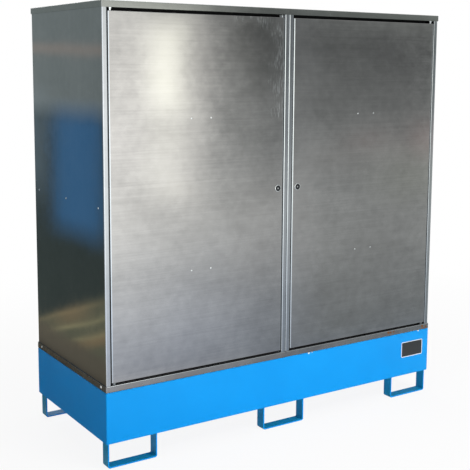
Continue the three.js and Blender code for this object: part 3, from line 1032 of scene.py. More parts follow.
@dataclass(frozen=True)
class Module:
    """The fixed sheet-metal body of one locker: base frame, side panels, roof cap and their fixings."""

    side: Side
    sheet: float = 0.002
    edge: Round = Round(0.0004, 2)
    fold: Round = Round(0.004, 8)
    cap_corner: Round = Round(0.004, 5)
    cap_edge: Round = Round(0.0025, 4)
    base_ring: float = 0.040
    base_edge: Round = Round(0.0009, 3)
    hem_radius: float = 0.0021
    hem_sides: int = 20
    hem_drop: float = 0.0016
    hem_inset: float = 0.004
    hem_top: float = 0.05
    sill_edge: Round = Round(0.0003, 2)
    sill_fold_depth: float = 0.01
    swing_notch: float = 0.032
    swing_depth: float = 0.008
    lip_notch: float = 0.0053
    notch_overrun: float = 0.005
    web_play: float = 0.0001
    stile: float = 0.022
    stile_return: float = 0.020
    lip: float = 0.014
    rear_flange: float = 0.025
    rivet_radius: float = 0.0042
    rivet_flatness: float = 0.4
    rivet_level: float = 1.070
    rivet_places: tuple[float, ...] = (0.056, 0.380, 0.686)
    screw_radius: float = 0.0065
    screw_flatness: float = 0.5
    screw_inset: float = 0.049

    def _cap(self, name: str, stem: str, up: bool) -> tuple[Workpiece, Vector, Vector, Test]:
        """Starts the roof cap or base frame: a block, rounded but where it meets the other locker's.

        Args:
            name: the stem of the piece's name.
            stem: the stem of the CAD node's name.
            up: whether its flat side is its top.

        Returns:
            The piece, the two corners of its box, and a test for the face at the other locker.
        """
        low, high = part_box(self.side.of(stem))
        outer, seam = self.side.ends(low, high)
        at_level, at_seam = Axis.Z.level(high.z if up else low.z), Axis.X.level(seam)
        piece = Workpiece.block(self.side.of(name), low, high)
        piece.round(lambda a, b: upright(a, b) and near(a.x, outer), self.cap_corner)
        piece.round(lambda a, b: at_level(a, b) and not at_seam(a, b), self.cap_edge)
        return piece, low, high, lambda middle, normal: near(middle.x, seam)

    def _roof(self) -> None:
        """Folds the roof cap."""
        piece, _, _, at_seam = self._cap("roof", "roof_cap", True)
        below = facing(DOWN)
        piece.open_up(lambda middle, normal: below(middle, normal) or at_seam(middle, normal))
        piece.thicken(self.sheet).ease(self.edge)
        piece.paint(Finish.ROOF).settle("cabinet", "roofZinc", self.side.of("roof_cap"))

    def _base(self) -> None:
        """Folds the base frame: a ring on the sump with a hemmed flange that stands up round the body."""
        piece, low, high, at_seam = self._cap("base", "base_frame", False)
        above = facing(UP)
        piece.open_up(flat_at(DOWN, low), self.base_ring - self.cap_edge.radius)
        piece.open_up(lambda middle, normal: above(middle, normal) or at_seam(middle, normal))
        piece.thicken(self.sheet).ease(self.base_edge)
        left, right = low.x + self.hem_inset, high.x - self.hem_inset
        depth, level = low.y + self.sheet / 2, high.z - self.hem_drop
        ends = Vector((left, depth, level)), Vector((right, depth, level))
        piece.join(Workpiece.bar("base_hem", self.hem_radius, *ends, self.hem_sides))
        # Painted highlight: the hem's upper front faces get the lighter fold colour, for a bright line along
        # the flange.
        piece.paint(Finish.BASE, Finish.FOLD)
        piece.paint_faces(
            1,
            lambda middle, normal: middle.z > high.z - self.hem_radius * 2
            and middle.y < low.y + self.sheet
            and abs(normal.x) < ALONG_FOLD
            and normal.z > self.hem_top,
        )
        piece.settle("cabinet", "roofZinc", self.side.of("base_frame"))

    def _sill(self) -> None:
        """Folds the sill rail and notches it for the lock-side lip and the swing of the door."""
        node = self.side.of("sill")
        low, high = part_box(node)
        half, sign, spare = self.sheet / 2, self.side.sign, self.notch_overrun
        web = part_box(self.side.of("base_frame"))[1].z
        front, rear, top = low.y + half, high.y - half, web - half
        path = ((front, low.z), (front, top), (rear, top), (rear, high.z))
        piece = Workpiece.folded(self.side.of("sill_rail"), path, Axis.X, (low.x, high.x), self.fold)
        piece.thicken(self.sheet, 0.0)
        hinge_end, seam_end = self.side.ends(low, high)
        pin_low, pin_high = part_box(self.side.of("lower_pin"))
        swing = (pin_low.x + pin_high.x) / 2 - sign * self.swing_notch / 2
        lip = (seam_end - sign * spare, seam_end + sign * self.lip)
        cuts = (
            (sorted(lip), high.y - self.lip_notch, low.z - spare),
            (sorted((swing, hinge_end + sign * spare)), low.y + self.swing_depth, web + self.web_play),
        )
        for (start, end), depth, bottom in cuts:
            corner = Vector((end, high.y + spare, high.z + spare))
            piece.cut(Workpiece.block("notch", Vector((start, depth, bottom)), corner))
        # Painted highlight: the round of the sill's front fold gets the lighter fold colour.
        piece.ease(self.sill_edge).paint(Finish.BASE, Finish.FOLD)
        piece.paint_faces(
            1,
            lambda middle, normal: abs(normal.x) < ALONG_FOLD
            and min(-normal.y, normal.z) > BOTH_WAYS
            and middle.y < low.y + self.sill_fold_depth,
        )
        piece.settle("cabinet", "zinc", node)

    def _wall(self, name: str, node: str, path: Sequence[Pair]) -> None:
        """Folds a side panel.

        Args:
            name: the stem of the piece's name.
            node: the CAD node that it stands for.
            path: the middle line of its sheet, seen from above.
        """
        low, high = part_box(node)
        piece = Workpiece.folded(self.side.of(name), path, Axis.Z, (low.z, high.z), self.fold)
        piece.thicken(self.sheet, 0.0).ease(self.edge)
        # Painted highlight: the rounds of the upright folds get the lighter fold colour.
        piece.paint(Finish.PANEL, Finish.FOLD, Finish.STILE).paint_faces(1, on_upright_fold)
        # Painted light: the faces that look to the front get the lighter stile copy of the sheet.
        piece.paint_faces(2, facing(FRONT, SQUARE)).settle("cabinet", "zinc", node)

    def _outer_panel(self) -> None:
        """Folds the outer side panel with its hinge-side stile and rear flange."""
        node = self.side.of("outer_panel")
        low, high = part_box(node)
        outer, _ = self.side.ends(low, high)
        half, sign = self.sheet / 2, self.side.sign
        front, rear = low.y + half, high.y - half
        stile, face = outer - sign * (self.stile - half), outer - sign * half
        path = (
            (stile, low.y + self.stile_return),
            (stile, front),
            (face, front),
            (face, rear),
            (outer - sign * self.rear_flange, rear),
        )
        self._wall("side_sheet", node, path)

    def _inner_panel(self) -> None:
        """Folds the inner side panel with its lock-side stile, stop lip and rear flange."""
        node = self.side.of("inner_panel")
        low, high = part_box(node)
        _, inner = self.side.ends(low, high)
        half, sign = self.sheet / 2, self.side.sign
        front, rear = low.y + half, high.y - half
        stile, face = inner + sign * (self.stile - half), inner + sign * half
        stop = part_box(self.side.of("header"))[1].y - half
        path = (
            (inner + sign * (self.stile + self.lip), stop),
            (stile, stop),
            (stile, front),
            (face, front),
            (face, rear),
            (inner + sign * self.rear_flange, rear),
        )
        self._wall("middle_sheet", node, path)

    def _heads(self, name: str, radius: float, flatness: float, places: Sequence[Vector]) -> None:
        """Puts rivets or screws in the outer side.

        Args:
            name: the stem of the piece's name.
            radius: the radius of a head.
            flatness: its height as a share of its radius.
            places: where the heads sit.
        """
        head = Workpiece.head(radius, flatness, RIGHT)
        heads = head.repeat(self.side.of(name), places, self.side is Side.RIGHT)
        heads.paint(Finish.BRIGHT).settle("cabinet", "chrome")

    def build(self) -> None:
        """Builds the body of the locker, with shelf rivets in its outer wall and screws in its base frame."""
        self._base()
        self._sill()
        self._outer_panel()
        self._inner_panel()
        self._roof()
        low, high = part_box(self.side.of("outer_panel"))
        x, _ = self.side.ends(low, high)
        places = [Vector((x, low.y + place, self.rivet_level)) for place in self.rivet_places]
        self._heads("side_rivets", self.rivet_radius, self.rivet_flatness, places)
        low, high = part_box(self.side.of("base_frame"))
        x, _ = self.side.ends(low, high)
        depths, level = (low.y + self.screw_inset, high.y - self.screw_inset), (low.z + high.z) / 2
        places = [Vector((x, y, level)) for y in depths]
        self._heads("base_screws", self.screw_radius, self.screw_flatness, places)


@dataclass(frozen=True)
class Door:
    """One door: a folded pan with rounded upright edges, returns behind, and two pairs of rivets."""

    side: Side
    sheet: float = 0.002
    front_edge: Round = Round(0.006, 10)
    back_edge: Round = Round(0.004, 4)
    end_edge: Round = Round(0.0022, 3)
    edge: Round = Round(0.0004, 2)
    return_width: float = 0.014
    nut_wall: float = 0.005
    hole_play: float = 0.0003
    hole_sides: int = 48
    drill_reach: float = 0.01
    rivet_radius: float = 0.0036
    rivet_flatness: float = 0.42
    rivet_spread: float = 0.047
    rivet_rise: float = 0.3185

    def _drill(self, face: float) -> Workpiece:
        """Makes the drill for the hole of the lock.

        Args:
            face: the Y of the door's face.

        Returns:
            The drill.
        """
        low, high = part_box(self.side.of("lock_housing"))
        nut_low, nut_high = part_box(self.side.of("lock_nut"))
        barrel = (nut_high.z - nut_low.z) / 2 / math.cos(HALF_FLAT) - self.nut_wall
        middle = Vector(((low.x + high.x) / 2, face, (low.z + high.z) / 2))
        reach = REAR * self.drill_reach
        radius = barrel + self.hole_play
        return Workpiece.bar("lock_drill", radius, middle - reach, middle + reach, self.hole_sides)

    def build(self) -> None:
        """Folds the door pan, drills it and puts its rivets in."""
        node, body = self.side.of("door"), self.side.body("door")
        low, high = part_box(node)
        at_back = Axis.Y.level(high.y)
        piece = Workpiece.block(self.side.of("door_pan"), low, high)
        for depth, size in ((low.y, self.front_edge), (high.y, self.back_edge)):
            piece.round(lambda a, b: upright(a, b) and near(a.y, depth), size)
        for at_end in (Axis.Z.level(low.z), Axis.Z.level(high.z)):
            piece.round(lambda a, b: at_end(a, b) and not at_back(a, b), self.end_edge)
        piece.open_up(facing(REAR, SQUARE), self.return_width - self.back_edge.radius)
        piece.thicken(self.sheet).cut(self._drill(low.y)).ease(self.edge)
        # Painted highlight: the rounds of the door's upright edges get the lighter fold colour.
        piece.paint(Finish.DOOR, Finish.FOLD).paint_faces(1, on_upright_fold)
        piece.settle(body, "zinc", node)
        middle = (low + high) / 2
        places = [
            Vector((middle.x + across, low.y, middle.z + rise))
            for across in (-self.rivet_spread, self.rivet_spread)
            for rise in (-self.rivet_rise, self.rivet_rise)
        ]
        head = Workpiece.head(self.rivet_radius, self.rivet_flatness, REAR)
        head.repeat(self.side.of("door_rivets"), places).paint(Finish.BRIGHT).settle(body, "chrome")


@dataclass(frozen=True)
class CylinderLock:
    """A round cylinder lock: a chromed ring with a dark recess, and a turning plug with a key slot."""

    side: Side
    ring_radius: float = 0.0152
    ring_height: float = 0.0024
    ring_edge: Round = Round(0.0013, 4)
    ring_sides: int = 56
    edge: Round = Round(0.0002, 2)
    lip: float = 0.0019
    lip_step: float = 0.0004
    recess: float = 0.0013
    dark_play: float = 0.0003
    barrel_radius: float = 0.010
    bore_radius: float = 0.0068
    bore_overrun: float = 0.01
    plug_radius: float = 0.0065
    plug_edge: Round = Round(0.0006, 3)
    plug_sides: int = 48
    face_radius: float = 0.0034
    tail_radius: float = 0.004
    slot: Triple = (0.0016, 0.008, 0.008)

    @staticmethod
    def _turned(
        name: str, front: Vector, lengths: Pair, radii: Pair, edge: Round, rim: float, sides: int
    ) -> Workpiece:
        """Turns a stepped round part that lies along Y.

        Args:
            name: the name of the piece.
            front: the middle of its face.
            lengths: how long it is before and behind its shoulder.
            radii: its radius before and behind its shoulder.
            edge: the rounding of its front edge.
            rim: the width of the flat ring left round its face, which stays selected.
            sides: how many flats draw its round.

        Returns:
            The part.
        """
        piece = Workpiece.bar(name, radii[0], front, front + REAR * lengths[0], sides)
        piece.pick_faces(facing(REAR, SQUARE)).inset(radii[0] - radii[1]).extrude(REAR * lengths[1])
        piece.round(Axis.Y.level(front.y), edge)
        return piece.pick_faces(flat_at(FRONT, front)).inset(rim)

    def _housing(self) -> float:
        """Turns the ring and barrel.

        Returns:
            The Y of the barrel's end.
        """
        node = self.side.of("lock_housing")
        low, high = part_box(node)
        front = Vector(((low.x + high.x) / 2, low.y, (low.z + high.z) / 2))
        rear = Vector((front.x, high.y, front.z))
        piece = self._turned(
            self.side.of("lock_ring"),
            front,
            (self.ring_height, high.y - low.y - self.ring_height),
            (self.ring_radius, self.barrel_radius),
            self.ring_edge,
            self.lip - self.ring_edge.radius,
            self.ring_sides,
        )
        piece.inset(self.lip_step).extrude(REAR * self.recess)
        overrun = REAR * self.bore_overrun
        ends = front - overrun, rear + overrun
        piece.cut(Workpiece.bar("lock_bore", self.bore_radius, *ends, self.ring_sides)).ease(self.edge)
        dark, shoulder = self.ring_radius - self.lip - self.dark_play, low.y + self.ring_height
        piece.paint(Finish.CHROME, Finish.BLACK)
        piece.paint_faces(1, lambda middle, normal: off_axis(middle, front) < dark and middle.y < shoulder)
        piece.settle(self.side.body("door"), "chrome", node)
        return high.y

    def _plug(self, shoulder: float) -> None:
        """Turns the plug with its tail and cuts its key slot.

        Args:
            shoulder: the Y where its tail begins.
        """
        node = self.side.of("lock_plug")
        low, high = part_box(node)
        front = Vector(((low.x + high.x) / 2, low.y, (low.z + high.z) / 2))
        piece = self._turned(
            self.side.of("lock_core"),
            front,
            (shoulder - low.y, high.y - shoulder),
            (self.plug_radius, self.tail_radius),
            self.plug_edge,
            self.plug_radius - self.plug_edge.radius - self.face_radius,
            self.plug_sides,
        )
        half = Vector(self.slot) / 2
        piece.cut(Workpiece.block("key_slot", front - half, front + half))
        at_front = flat_at(FRONT, front)
        piece.paint(Finish.BLACK, Finish.BRIGHT).paint_faces(
            1, lambda middle, normal: at_front(middle, normal) and off_axis(middle, front) < self.face_radius
        )
        piece.settle(self.side.body("lock"), "darkSteel", node)

    def build(self) -> None:
        """Builds the lock."""
        self._plug(self._housing())


@dataclass(frozen=True)
class ShelfTray:
    """A shelf tray of folded sheet with upturned edges."""

    side: Side
    sheet: float = 0.002
    fold: Round = Round(0.003, 4)
    edge: Round = Round(0.0004, 2)

    def build(self) -> None:
        """Folds the tray."""
        node = self.side.of("shelf_tray")
        low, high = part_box(node)
        piece = Workpiece.block(self.side.of("shelf"), low, high).round(upright, self.fold)
        piece.round(Axis.Z.level(low.z), self.fold).open_up(facing(UP))
        piece.thicken(self.sheet).ease(self.edge)
        piece.paint(Finish.INNER).settle("cabinet", "innerZinc", node)


@dataclass(frozen=True)
class Grating:
    """A pressed steel grating: upright bearing bars, thin cross bars and a frame round them."""

    side: Side
    mesh: float = 0.0335
    bar: float = 0.0026
    bar_edge: Round = Round(0.0004, 1)
    cross_bar: float = 0.002
    cross_height: float = 0.010
    cross_drop: float = 0.0002
    cross_edge: Round = Round(0.0003, 1)
    frame_bar: float = 0.003
    frame_edge: Round = Round(0.0005, 2)

    def _row(self, name: str, low: Vector, high: Vector, way: Vector, bar: float, edge: Round) -> Workpiece:
        """Makes a row of bars.

        Args:
            name: the name of the piece.
            low: the lowest corner of the field that it fills.
            high: the highest corner of the field.
            way: the direction in which the bars follow one another.
            bar: the thickness of a bar.
            edge: the rounding of its edges.

        Returns:
            The row.
        """
        width = (high - low).dot(way)
        cells = round(width / self.mesh)
        step, half = way * (width / cells), way * (bar / 2)
        piece = Workpiece.block(name, low + step - half, high - way * width + step + half).ease(edge)
        return piece.modify(
            "ARRAY",
            count=cells - 1,
            use_relative_offset=False,
            use_constant_offset=True,
            constant_offset_displace=step,
        )

    def build(self) -> None:
        """Presses the grating together."""
        node = self.side.of("grating")
        low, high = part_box(node)
        bars = self._row(self.side.of("grating_mesh"), low, high, RIGHT, self.bar, self.bar_edge)
        bottom = Vector((low.x, low.y, high.z - self.cross_height))
        top = high - UP * self.cross_drop
        crosses = self._row("grating_cross", bottom, top, REAR, self.cross_bar, self.cross_edge)
        ring = Workpiece.block("grating_ring", low, high)
        ring.open_up(lambda middle, normal: abs(normal.z) > ROUGHLY)
        ring.thicken(self.frame_bar).ease(self.frame_edge)
        bars.join(crosses, ring).paint(Finish.INNER).settle("cabinet", "innerZinc", node)


@dataclass(frozen=True)
class SumpPlate:
    """The small dark plate on the sump front, bare, with a light border."""

    node: str = "sump_plate"
    corner: Round = Round(0.007, 6)
    border: float = 0.0036
    field_depth: float = 0.0003
    edge: Round = Round(0.00015, 1)
    edge_angle: float = 70.0

    def build(self) -> None:
        """Models the plate."""
        low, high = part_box(self.node)
        centre, front = (low + high) / 2, facing(FRONT)
        piece = Workpiece.block("front_plate", low, high)
        piece.round(lambda a, b: near(a.x, b.x) and near(a.z, b.z), self.corner)
        piece.pick_faces(front).inset(self.border).extrude(REAR * self.field_depth)
        piece.ease(self.edge, self.edge_angle).paint(Finish.PLATE_BORDER, Finish.PLATE)
        piece.paint_faces(
            1, lambda middle, normal: front(middle, normal) and off_axis(middle, centre) < self.border
        )
        piece.settle("cabinet", "plate", self.node)


@dataclass(frozen=True)
class CarriedNodes:
    """The CAD nodes that keep their own shape and only get a finish, by the start of their names."""

    stems: tuple[tuple[Finish, tuple[str, ...]], ...] = (
        # Painted shade: the header is near black, for the dark gap above the doors.
        (Finish.RAIL, ("header",)),
        (
            Finish.INNER,
            ("back_panel", "door_stiffener", "lock_nut", "lock_cam", "shelf_rail", "grating_ledge",
             "grating_beam", "lower_pin"),
        ),
        (Finish.CHROME, ("upper_pin",)),
    )

    def build(self) -> None:
        """Gives each node its finish and logs it."""
        for finish, stems in self.stems:
            for name in [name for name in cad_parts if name.startswith(stems)]:
                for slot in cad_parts[name].material_slots:
                    slot.material = finish.material
                log.info("%s: keeps its CAD shape", name)


# Studio


@dataclass(frozen=True)
class Viewpoint:
    """The camera at the photograph's viewing angle."""

    place: Triple = (-2.4312, -3.6992, 1.6414)
    heading: float = 33.752
    pitch: float = 7.530
    roll: float = -0.451
    lens: float = 71.83
    sensor: float = 36.0
    shift: Pair = (-0.03, -0.10)

    def set_up(self) -> None:
        """Makes the camera and sets it as the scene's."""
        yaw, down, tilt = (math.radians(angle) for angle in (self.heading, self.pitch, self.roll))
        ahead = Vector((math.sin(yaw) * math.cos(down), math.cos(yaw) * math.cos(down), -math.sin(down)))
        level = Vector((math.cos(yaw), -math.sin(yaw), 0.0))
        below = ahead.cross(level)
        right = level * math.cos(tilt) + below * math.sin(tilt)
        under = below * math.cos(tilt) - level * math.sin(tilt)
        data = bpy.data.cameras.new("viewpoint")
        data.lens = self.lens
        data.sensor_width = self.sensor
        data.shift_x, data.shift_y = self.shift
        camera = bpy.data.objects.new("viewpoint", data)
        bpy.context.scene.collection.objects.link(camera)
        turn = Matrix((right, -under, -ahead)).transposed().to_4x4()
        camera.matrix_world = Matrix.Translation(Vector(self.place)) @ turn
        bpy.context.scene.camera = camera


@dataclass(frozen=True)
class SoftLamp:
    """A rectangular soft box, aimed at a point."""

    name: str
    place: Triple
    aim: Triple
    size: Pair
    power: float
    mirrored: bool = False

    def hang(self) -> None:
        """Hangs the lamp."""
        data = bpy.data.lights.new(self.name, "AREA")
        data.shape = "RECTANGLE"
        data.size, data.size_y = self.size
        data.energy = self.power
        lamp = bpy.data.objects.new(self.name, data)
        bpy.context.scene.collection.objects.link(lamp)
        lamp.location = self.place
        lamp.rotation_euler = (Vector(self.aim) - Vector(self.place)).to_track_quat("-Z", "Y").to_euler()
        lamp.visible_camera = False
        lamp.visible_glossy = self.mirrored


@dataclass(frozen=True)
class Glow:
    """A soft-edged patch of light on a board: from and to along it and up it, and how far each edge fades.

    A slope tips the patch: its height falls by that share of the way along the board.
    """

    shade: str
    strength: float
    along: Pair = (FIRST, LAST)
    up: Pair = (FIRST, LAST)
    soft: Pair = (0.1, 0.1)
    slope: float = 0.0

    def share(self, bench: NodeBench, place: Socket, height: Socket) -> Socket:
        """How much of the patch shows at a point of the board.

        Args:
            bench: the node tree.
            place: the place along the board.
            height: the height on it.

        Returns:
            0 outside the patch and 1 inside.
        """
        if self.slope:
            height = bench.add("Math", {0: place, 1: self.slope, 2: height}, operation="MULTIPLY_ADD")[0]
        total: object = 1.0
        for value, (start, end), soft in ((place, self.along, self.soft[0]), (height, self.up, self.soft[1])):
            for edge, fade in ((start, soft), (end, -soft)):
                step = bench.add("MapRange", {0: value, 1: edge - fade, 2: edge + fade})[0]
                total = bench.add("Math", {0: step, 1: total}, operation="MULTIPLY")[0]
        return total


@dataclass(frozen=True)
class MirrorBoard:
    """A dark board with soft patches of light. Only metal and gloss see it, so it lights nothing.

    It lies across one axis at a level of it, and spans the two others in their order.
    """

    name: str
    facing: Axis
    level: float
    along: Pair
    up: Pair
    ground: str
    ground_strength: float
    glows: tuple[Glow, ...]
    warp: float = 0.0
    warp_pitch: float = 0.3
    warp_limits: Pair = (0.3, 0.7)

    def _places(self, bench: NodeBench) -> list[Socket]:
        """Where a point lies on the board, warped a little, so that the patches have no straight edge.

        Args:
            bench: the node tree.

        Returns:
            The place along the board and the height on it.
        """
        axes = bench.add("SeparateXYZ", {0: bench.add("TexCoord")["Object"]})
        places = [axes[axis.value] for axis in Axis if axis is not self.facing]
        if not self.warp:
            return places
        drift = bench.drawn(Pattern(self.warp_pitch, 2.0))
        low, high = self.warp_limits
        shift = bench.add("MapRange", {0: drift, 1: low, 2: high, 3: -self.warp, 4: self.warp})[0]
        return [bench.add("Math", {0: place, 1: shift}, operation="ADD")[0] for place in places]

    def stand(self) -> None:
        """Stands the board up."""
        (left, right), (bottom, top) = self.along, self.up
        corner = self.facing.place((left, bottom), self.level)
        along = self.facing.place((right, bottom), self.level) - corner
        up = self.facing.place((left, top), self.level) - corner
        board = Workpiece.leaf(self.name, corner, along, up).thing
        material, bench = NodeBench.blank(self.name)
        places = self._places(bench)
        light: object = Vector(linear(self.ground)[:3]) * self.ground_strength
        for glow in self.glows:
            colour = Vector(linear(glow.shade)[:3]) * glow.strength
            feeds = {0: colour, 1: glow.share(bench, *places), 2: light}
            light = bench.add("VectorMath", feeds, operation="MULTIPLY_ADD")[0]
        shader = bench.add("Emission", {"Color": light, "Strength": 1.0})[0]
        bench.add("OutputMaterial", {"Surface": shader})
        board.data.materials.append(material)
        board.visible_camera = board.visible_diffuse = board.visible_shadow = False


# The soft boxes. The metal mirrors the last two.
LAMPS = (
    SoftLamp("key_box", (1.2, -3.6, 4.4), (0.0, -0.2, 0.8), (2.2, 1.6), 110.0),
    SoftLamp("front_box", (0.15, -4.6, 1.2), (0.15, 0.0, 1.2), (2.4, 2.0), 54.0),
    SoftLamp("low_box", (0.1, -2.7, 0.35), (0.1, -0.3, 0.4), (2.0, 0.6), 9.0),
    SoftLamp("left_box", (-3.6, -4.5, 1.3), (-0.4, -0.3, 1.2), (2.4, 2.0), 30.0),
    SoftLamp("rear_box", (0.6, 4.6, 2.4), (0.0, 0.3, 0.6), (2.6, 1.8), 90.0, True),
    SoftLamp("top_box", (0.0, 0.0, 5.0), (0.0, 0.0, 0.0), (3.0, 3.0), 90.0, True),
)
# What the doors mirror: a wide bright window on the left, a dimmer room on the right, a few warm things.
FRONT_GLOWS = (
    Glow("f4f8f5", 0.07, along=(FIRST, 1.35), soft=(0.2, 0.1)),
    Glow("f5f7f5", 0.62, up=(0.25, 1.25), soft=(0.1, 0.45)),
    Glow("acc4ff", 0.38, along=(FIRST, 0.5), up=(FIRST, 0.5), soft=(0.5, 0.3)),
    Glow("a8d0f0", 0.12, up=(FIRST, 0.3), soft=(0.1, 0.3)),
    Glow("fbf9f4", 1.62, along=(FIRST, 0.05), up=(0.16, 1.45), soft=(0.6, 0.5)),
    Glow("fbf9f4", 1.66, along=(FIRST, 0.0), up=(1.45, LAST), soft=(0.48, 0.5)),
    Glow("faf4ec", 1.02, along=(FIRST, 0.15), up=(0.9, 1.9), soft=(0.06, 0.3)),
    Glow("f8f8e4", 1.75, along=(-0.21, 0.01), up=(1.4, 1.84), soft=(0.06, 0.07)),
    Glow("f8f8e4", 0.75, along=(-0.2, 0.0), up=(0.95, 1.84), soft=(0.06, 0.1)),
    Glow("fff8e8", 0.9, along=(-0.09, 0.03), up=(0.93, 1.04), soft=(0.06, 0.05)),
    Glow("c8dcff", 0.9, along=(FIRST, -1.3), soft=(0.4, 0.1)),
    Glow("fff6f0", 0.15, along=(0.3, 0.88), up=(0.45, 1.0), soft=(0.12, 0.15)),
    Glow("f6f8ff", 0.12, along=(0.62, 0.84), soft=(0.08, 0.1)),
    Glow("fff4ec", 0.16, along=(0.7, LAST), up=(1.04, 1.17), soft=(0.2, 0.06)),
    Glow("ff7a60", 0.14, along=(1.15, 1.42), up=(1.16, 1.24), soft=(0.12, 0.05)),
    Glow("ff7a60", 0.2, along=(1.62, LAST), up=(1.1, 1.26), soft=(0.08, 0.06)),
    Glow("a8b060", 0.2, along=(1.35, LAST), up=(0.86, 1.06), soft=(0.2, 0.12)),
    Glow("f0f4ec", 0.22, along=(1.3, LAST), up=(1.84, LAST), soft=(0.4, 0.04)),
    Glow("f0f4ec", 0.25, along=(0.7, LAST), up=(1.92, LAST), soft=(0.3, 0.015)),
    Glow("f4faf2", 0.4, along=(1.82, LAST), soft=(0.02, 0.1)),
)
# What the left side wall mirrors: a pale wall high up, a blue field, and warm streaks that fall to the rear.
SIDE_GLOWS = (
    Glow("c0c8ca", 0.68, up=(1.36, LAST), soft=(0.1, 0.06)),
    Glow("e8a070", 0.27, up=(1.69, 1.75), soft=(0.1, 0.02)),
    Glow("2a8cd8", 0.86, along=(0.92, 1.62), up=(0.66, 1.36), soft=(0.09, 0.08)),
    Glow("7a8c9c", 0.75, along=(1.74, LAST), up=(0.85, 1.4), soft=(0.06, 0.14)),
    Glow("989068", 0.62, up=(FIRST, 0.7), soft=(0.1, 0.03), slope=0.36),
    Glow("d8b880", 0.62, along=(1.0, LAST), up=(0.675, 0.69), soft=(0.2, 0.008), slope=0.36),
    Glow("d8c890", 0.9, along=(FIRST, 1.9), up=(0.585, 0.6), soft=(0.2, 0.008), slope=0.36),
    Glow("e09858", 0.28, along=(1.2, 1.6), up=(0.61, 0.7), soft=(0.15, 0.03), slope=0.36),
    Glow("e09858", 0.55, along=(0.8, 1.3), up=(0.46, 0.5), soft=(0.15, 0.03), slope=0.36),
    Glow("b8b080", 0.9, along=(FIRST, 1.5), up=(0.5, 0.515), soft=(0.2, 0.008), slope=0.36),
)
# What the bottom of that wall and the base frame's flange mirror: the floor.
LOW_GLOWS = (Glow("a09884", 0.7, along=(FIRST, -1.305), soft=(0.02, 0.1)),)
FLANGE_GLOWS = (Glow("faf0e6", 1.35, along=(FIRST, 0.0), soft=(0.7, 0.1)),)
# What the right side, the floor before it and the back mirror: a plain room with windows.
RIGHT_GLOWS = (
    Glow("f6f8fa", 0.85, along=(FIRST, 0.1), up=(0.6, LAST), soft=(0.7, 0.5)),
    Glow("f6f8fa", 0.35, up=(1.1, LAST), soft=(0.1, 0.7)),
)
FLOOR_GLOWS = (
    Glow("f6f8fa", 0.65, along=(FIRST, 2.0), soft=(0.8, 0.1)),
    Glow("f6f8fa", 0.6, along=(2.3, LAST), up=(FIRST, 1.3), soft=(0.5, 0.9)),
)
REAR_GLOWS = (
    Glow("f6f8fa", 0.8, along=(FIRST, -0.5), up=(0.5, LAST), soft=(0.9, 0.5)),
    Glow("f6f8fa", 0.45, along=(1.2, LAST), up=(0.9, LAST), soft=(0.7, 0.6)),
)
# Just above the floor, for a board that lies on it.
LYING = 0.002
BOARDS = (
    MirrorBoard("board_front", Axis.Y, -1.3, (-2.6, 2.1), (0.0, 2.1), "f2f7f6", 0.36, FRONT_GLOWS, 0.035),
    MirrorBoard("board_side", Axis.X, -1.487, (0.3, 4.0), (0.0, 2.6), "5d6966", 1.0, SIDE_GLOWS, 0.016, 0.6),
    MirrorBoard("board_low", Axis.Z, LYING, (-2.4, -0.93), (-0.3, 4.0), "3c3836", 1.0, LOW_GLOWS),
    MirrorBoard("board_flange", Axis.Z, LYING, (-2.6, 2.1), (-1.3, -1.08), "ccdcf0", 0.85, FLANGE_GLOWS),
    MirrorBoard("board_right", Axis.X, 3.6, (-3.0, 4.4), (0.0, 2.8), "a8b0b4", 0.5, RIGHT_GLOWS, 0.12, 0.7),
    MirrorBoard(
        "board_right_floor", Axis.Z, LYING, (1.05, 3.6), (-2.6, 4.4), "9aa2a4", 1.1, FLOOR_GLOWS, 0.12, 0.7
    ),
    MirrorBoard("board_rear", Axis.Y, 3.8, (-3.6, 3.6), (0.0, 2.8), "a8b0b4", 0.55, REAR_GLOWS, 0.12, 0.7),
)


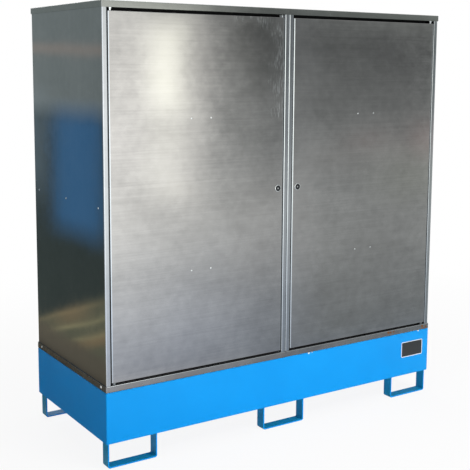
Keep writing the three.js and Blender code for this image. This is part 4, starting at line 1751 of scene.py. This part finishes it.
@dataclass(frozen=True)
class Studio:
    """A plain pale floor in a white room with soft lamps."""

    floor_size: float = 60.0
    floor_colour: str = "efefef"
    floor_glow: Pair = (0.9, 1.0)
    floor_fade: Pair = (1.6, 3.4)
    room_level: float = 0.16
    lamps: tuple[SoftLamp, ...] = LAMPS
    boards: tuple[MirrorBoard, ...] = BOARDS

    @staticmethod
    def _seen(bench: NodeBench) -> Socket:
        """1 for what the eye, a glossy reflection or clear glass sees, and 0 for what lights the cabinet.

        Args:
            bench: the node tree.

        Returns:
            The clamped sum of the three kinds of ray.
        """
        rays = bench.add("LightPath")
        direct = {0: rays["Is Camera Ray"], 1: rays["Is Glossy Ray"]}
        through = {0: bench.add("Math", direct, operation="ADD")[0], 1: rays["Is Transmission Ray"]}
        return bench.add("Math", through, operation="ADD", use_clamp=True)[0]

    def _floor(self) -> None:
        """Lays the floor. It is white to the eye and in reflections, and keeps the cabinet's shadow."""
        along, reach = RIGHT * self.floor_size, REAR * self.floor_size
        floor = Workpiece.leaf("floor", -(along + reach) / 2, along, reach).thing
        material, bench = NodeBench.blank("studio_floor")
        coords = bench.add("TexCoord")["Object"]
        away = bench.add("VectorMath", {0: coords}, operation="LENGTH")["Value"]
        (near_edge, far_edge), (near_glow, far_glow) = self.floor_fade, self.floor_glow
        glow = bench.add("MapRange", {0: away, 1: near_edge, 2: far_edge, 3: near_glow, 4: far_glow})[0]
        share = bench.add("Math", {0: self._seen(bench), 1: glow}, operation="MULTIPLY")[0]
        matt = bench.add("BsdfDiffuse", {"Color": linear(self.floor_colour)})[0]
        white = bench.add("Emission", {"Color": WHITE, "Strength": 1.0})[0]
        shader = bench.add("MixShader", {0: share, 1: matt, 2: white})[0]
        bench.add("OutputMaterial", {"Surface": shader})
        floor.data.materials.append(material)

    def _room(self) -> None:
        """Paints the room white and lets it light the cabinet at a plain level."""
        world = bpy.data.worlds.new("studio_room")
        bpy.context.scene.world = world
        world.use_nodes = True
        bench = NodeBench(world.node_tree)
        light = bench.add("Background", {"Color": WHITE, "Strength": self.room_level})[0]
        white = bench.add("Background", {"Color": WHITE, "Strength": 1.0})[0]
        shader = bench.add("MixShader", {0: self._seen(bench), 1: light, 2: white})[0]
        bench.add("OutputWorld", {"Surface": shader})

    def set_up(self) -> None:
        """Makes the camera, room, floor, lamps and boards."""
        Viewpoint().set_up()
        bpy.context.scene.view_settings.view_transform = "Standard"
        self._room()
        self._floor()
        for lamp in self.lamps:
            lamp.hang()
        for board in self.boards:
            board.stand()


def main() -> None:
    """Builds the studio and the cabinet. Each piece is logged when it is finished."""
    logging.basicConfig(level=logging.INFO, format="%(message)s")
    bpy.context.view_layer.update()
    Studio().set_up()
    Sump().build()
    Feet().build()
    for side in Side:
        for part in (Module, Door, CylinderLock, ShelfTray, Grating):
            part(side).build()
    SumpPlate().build()
    CarriedNodes().build()
    deselect_everything()


if __name__ == "__main__":
    main()
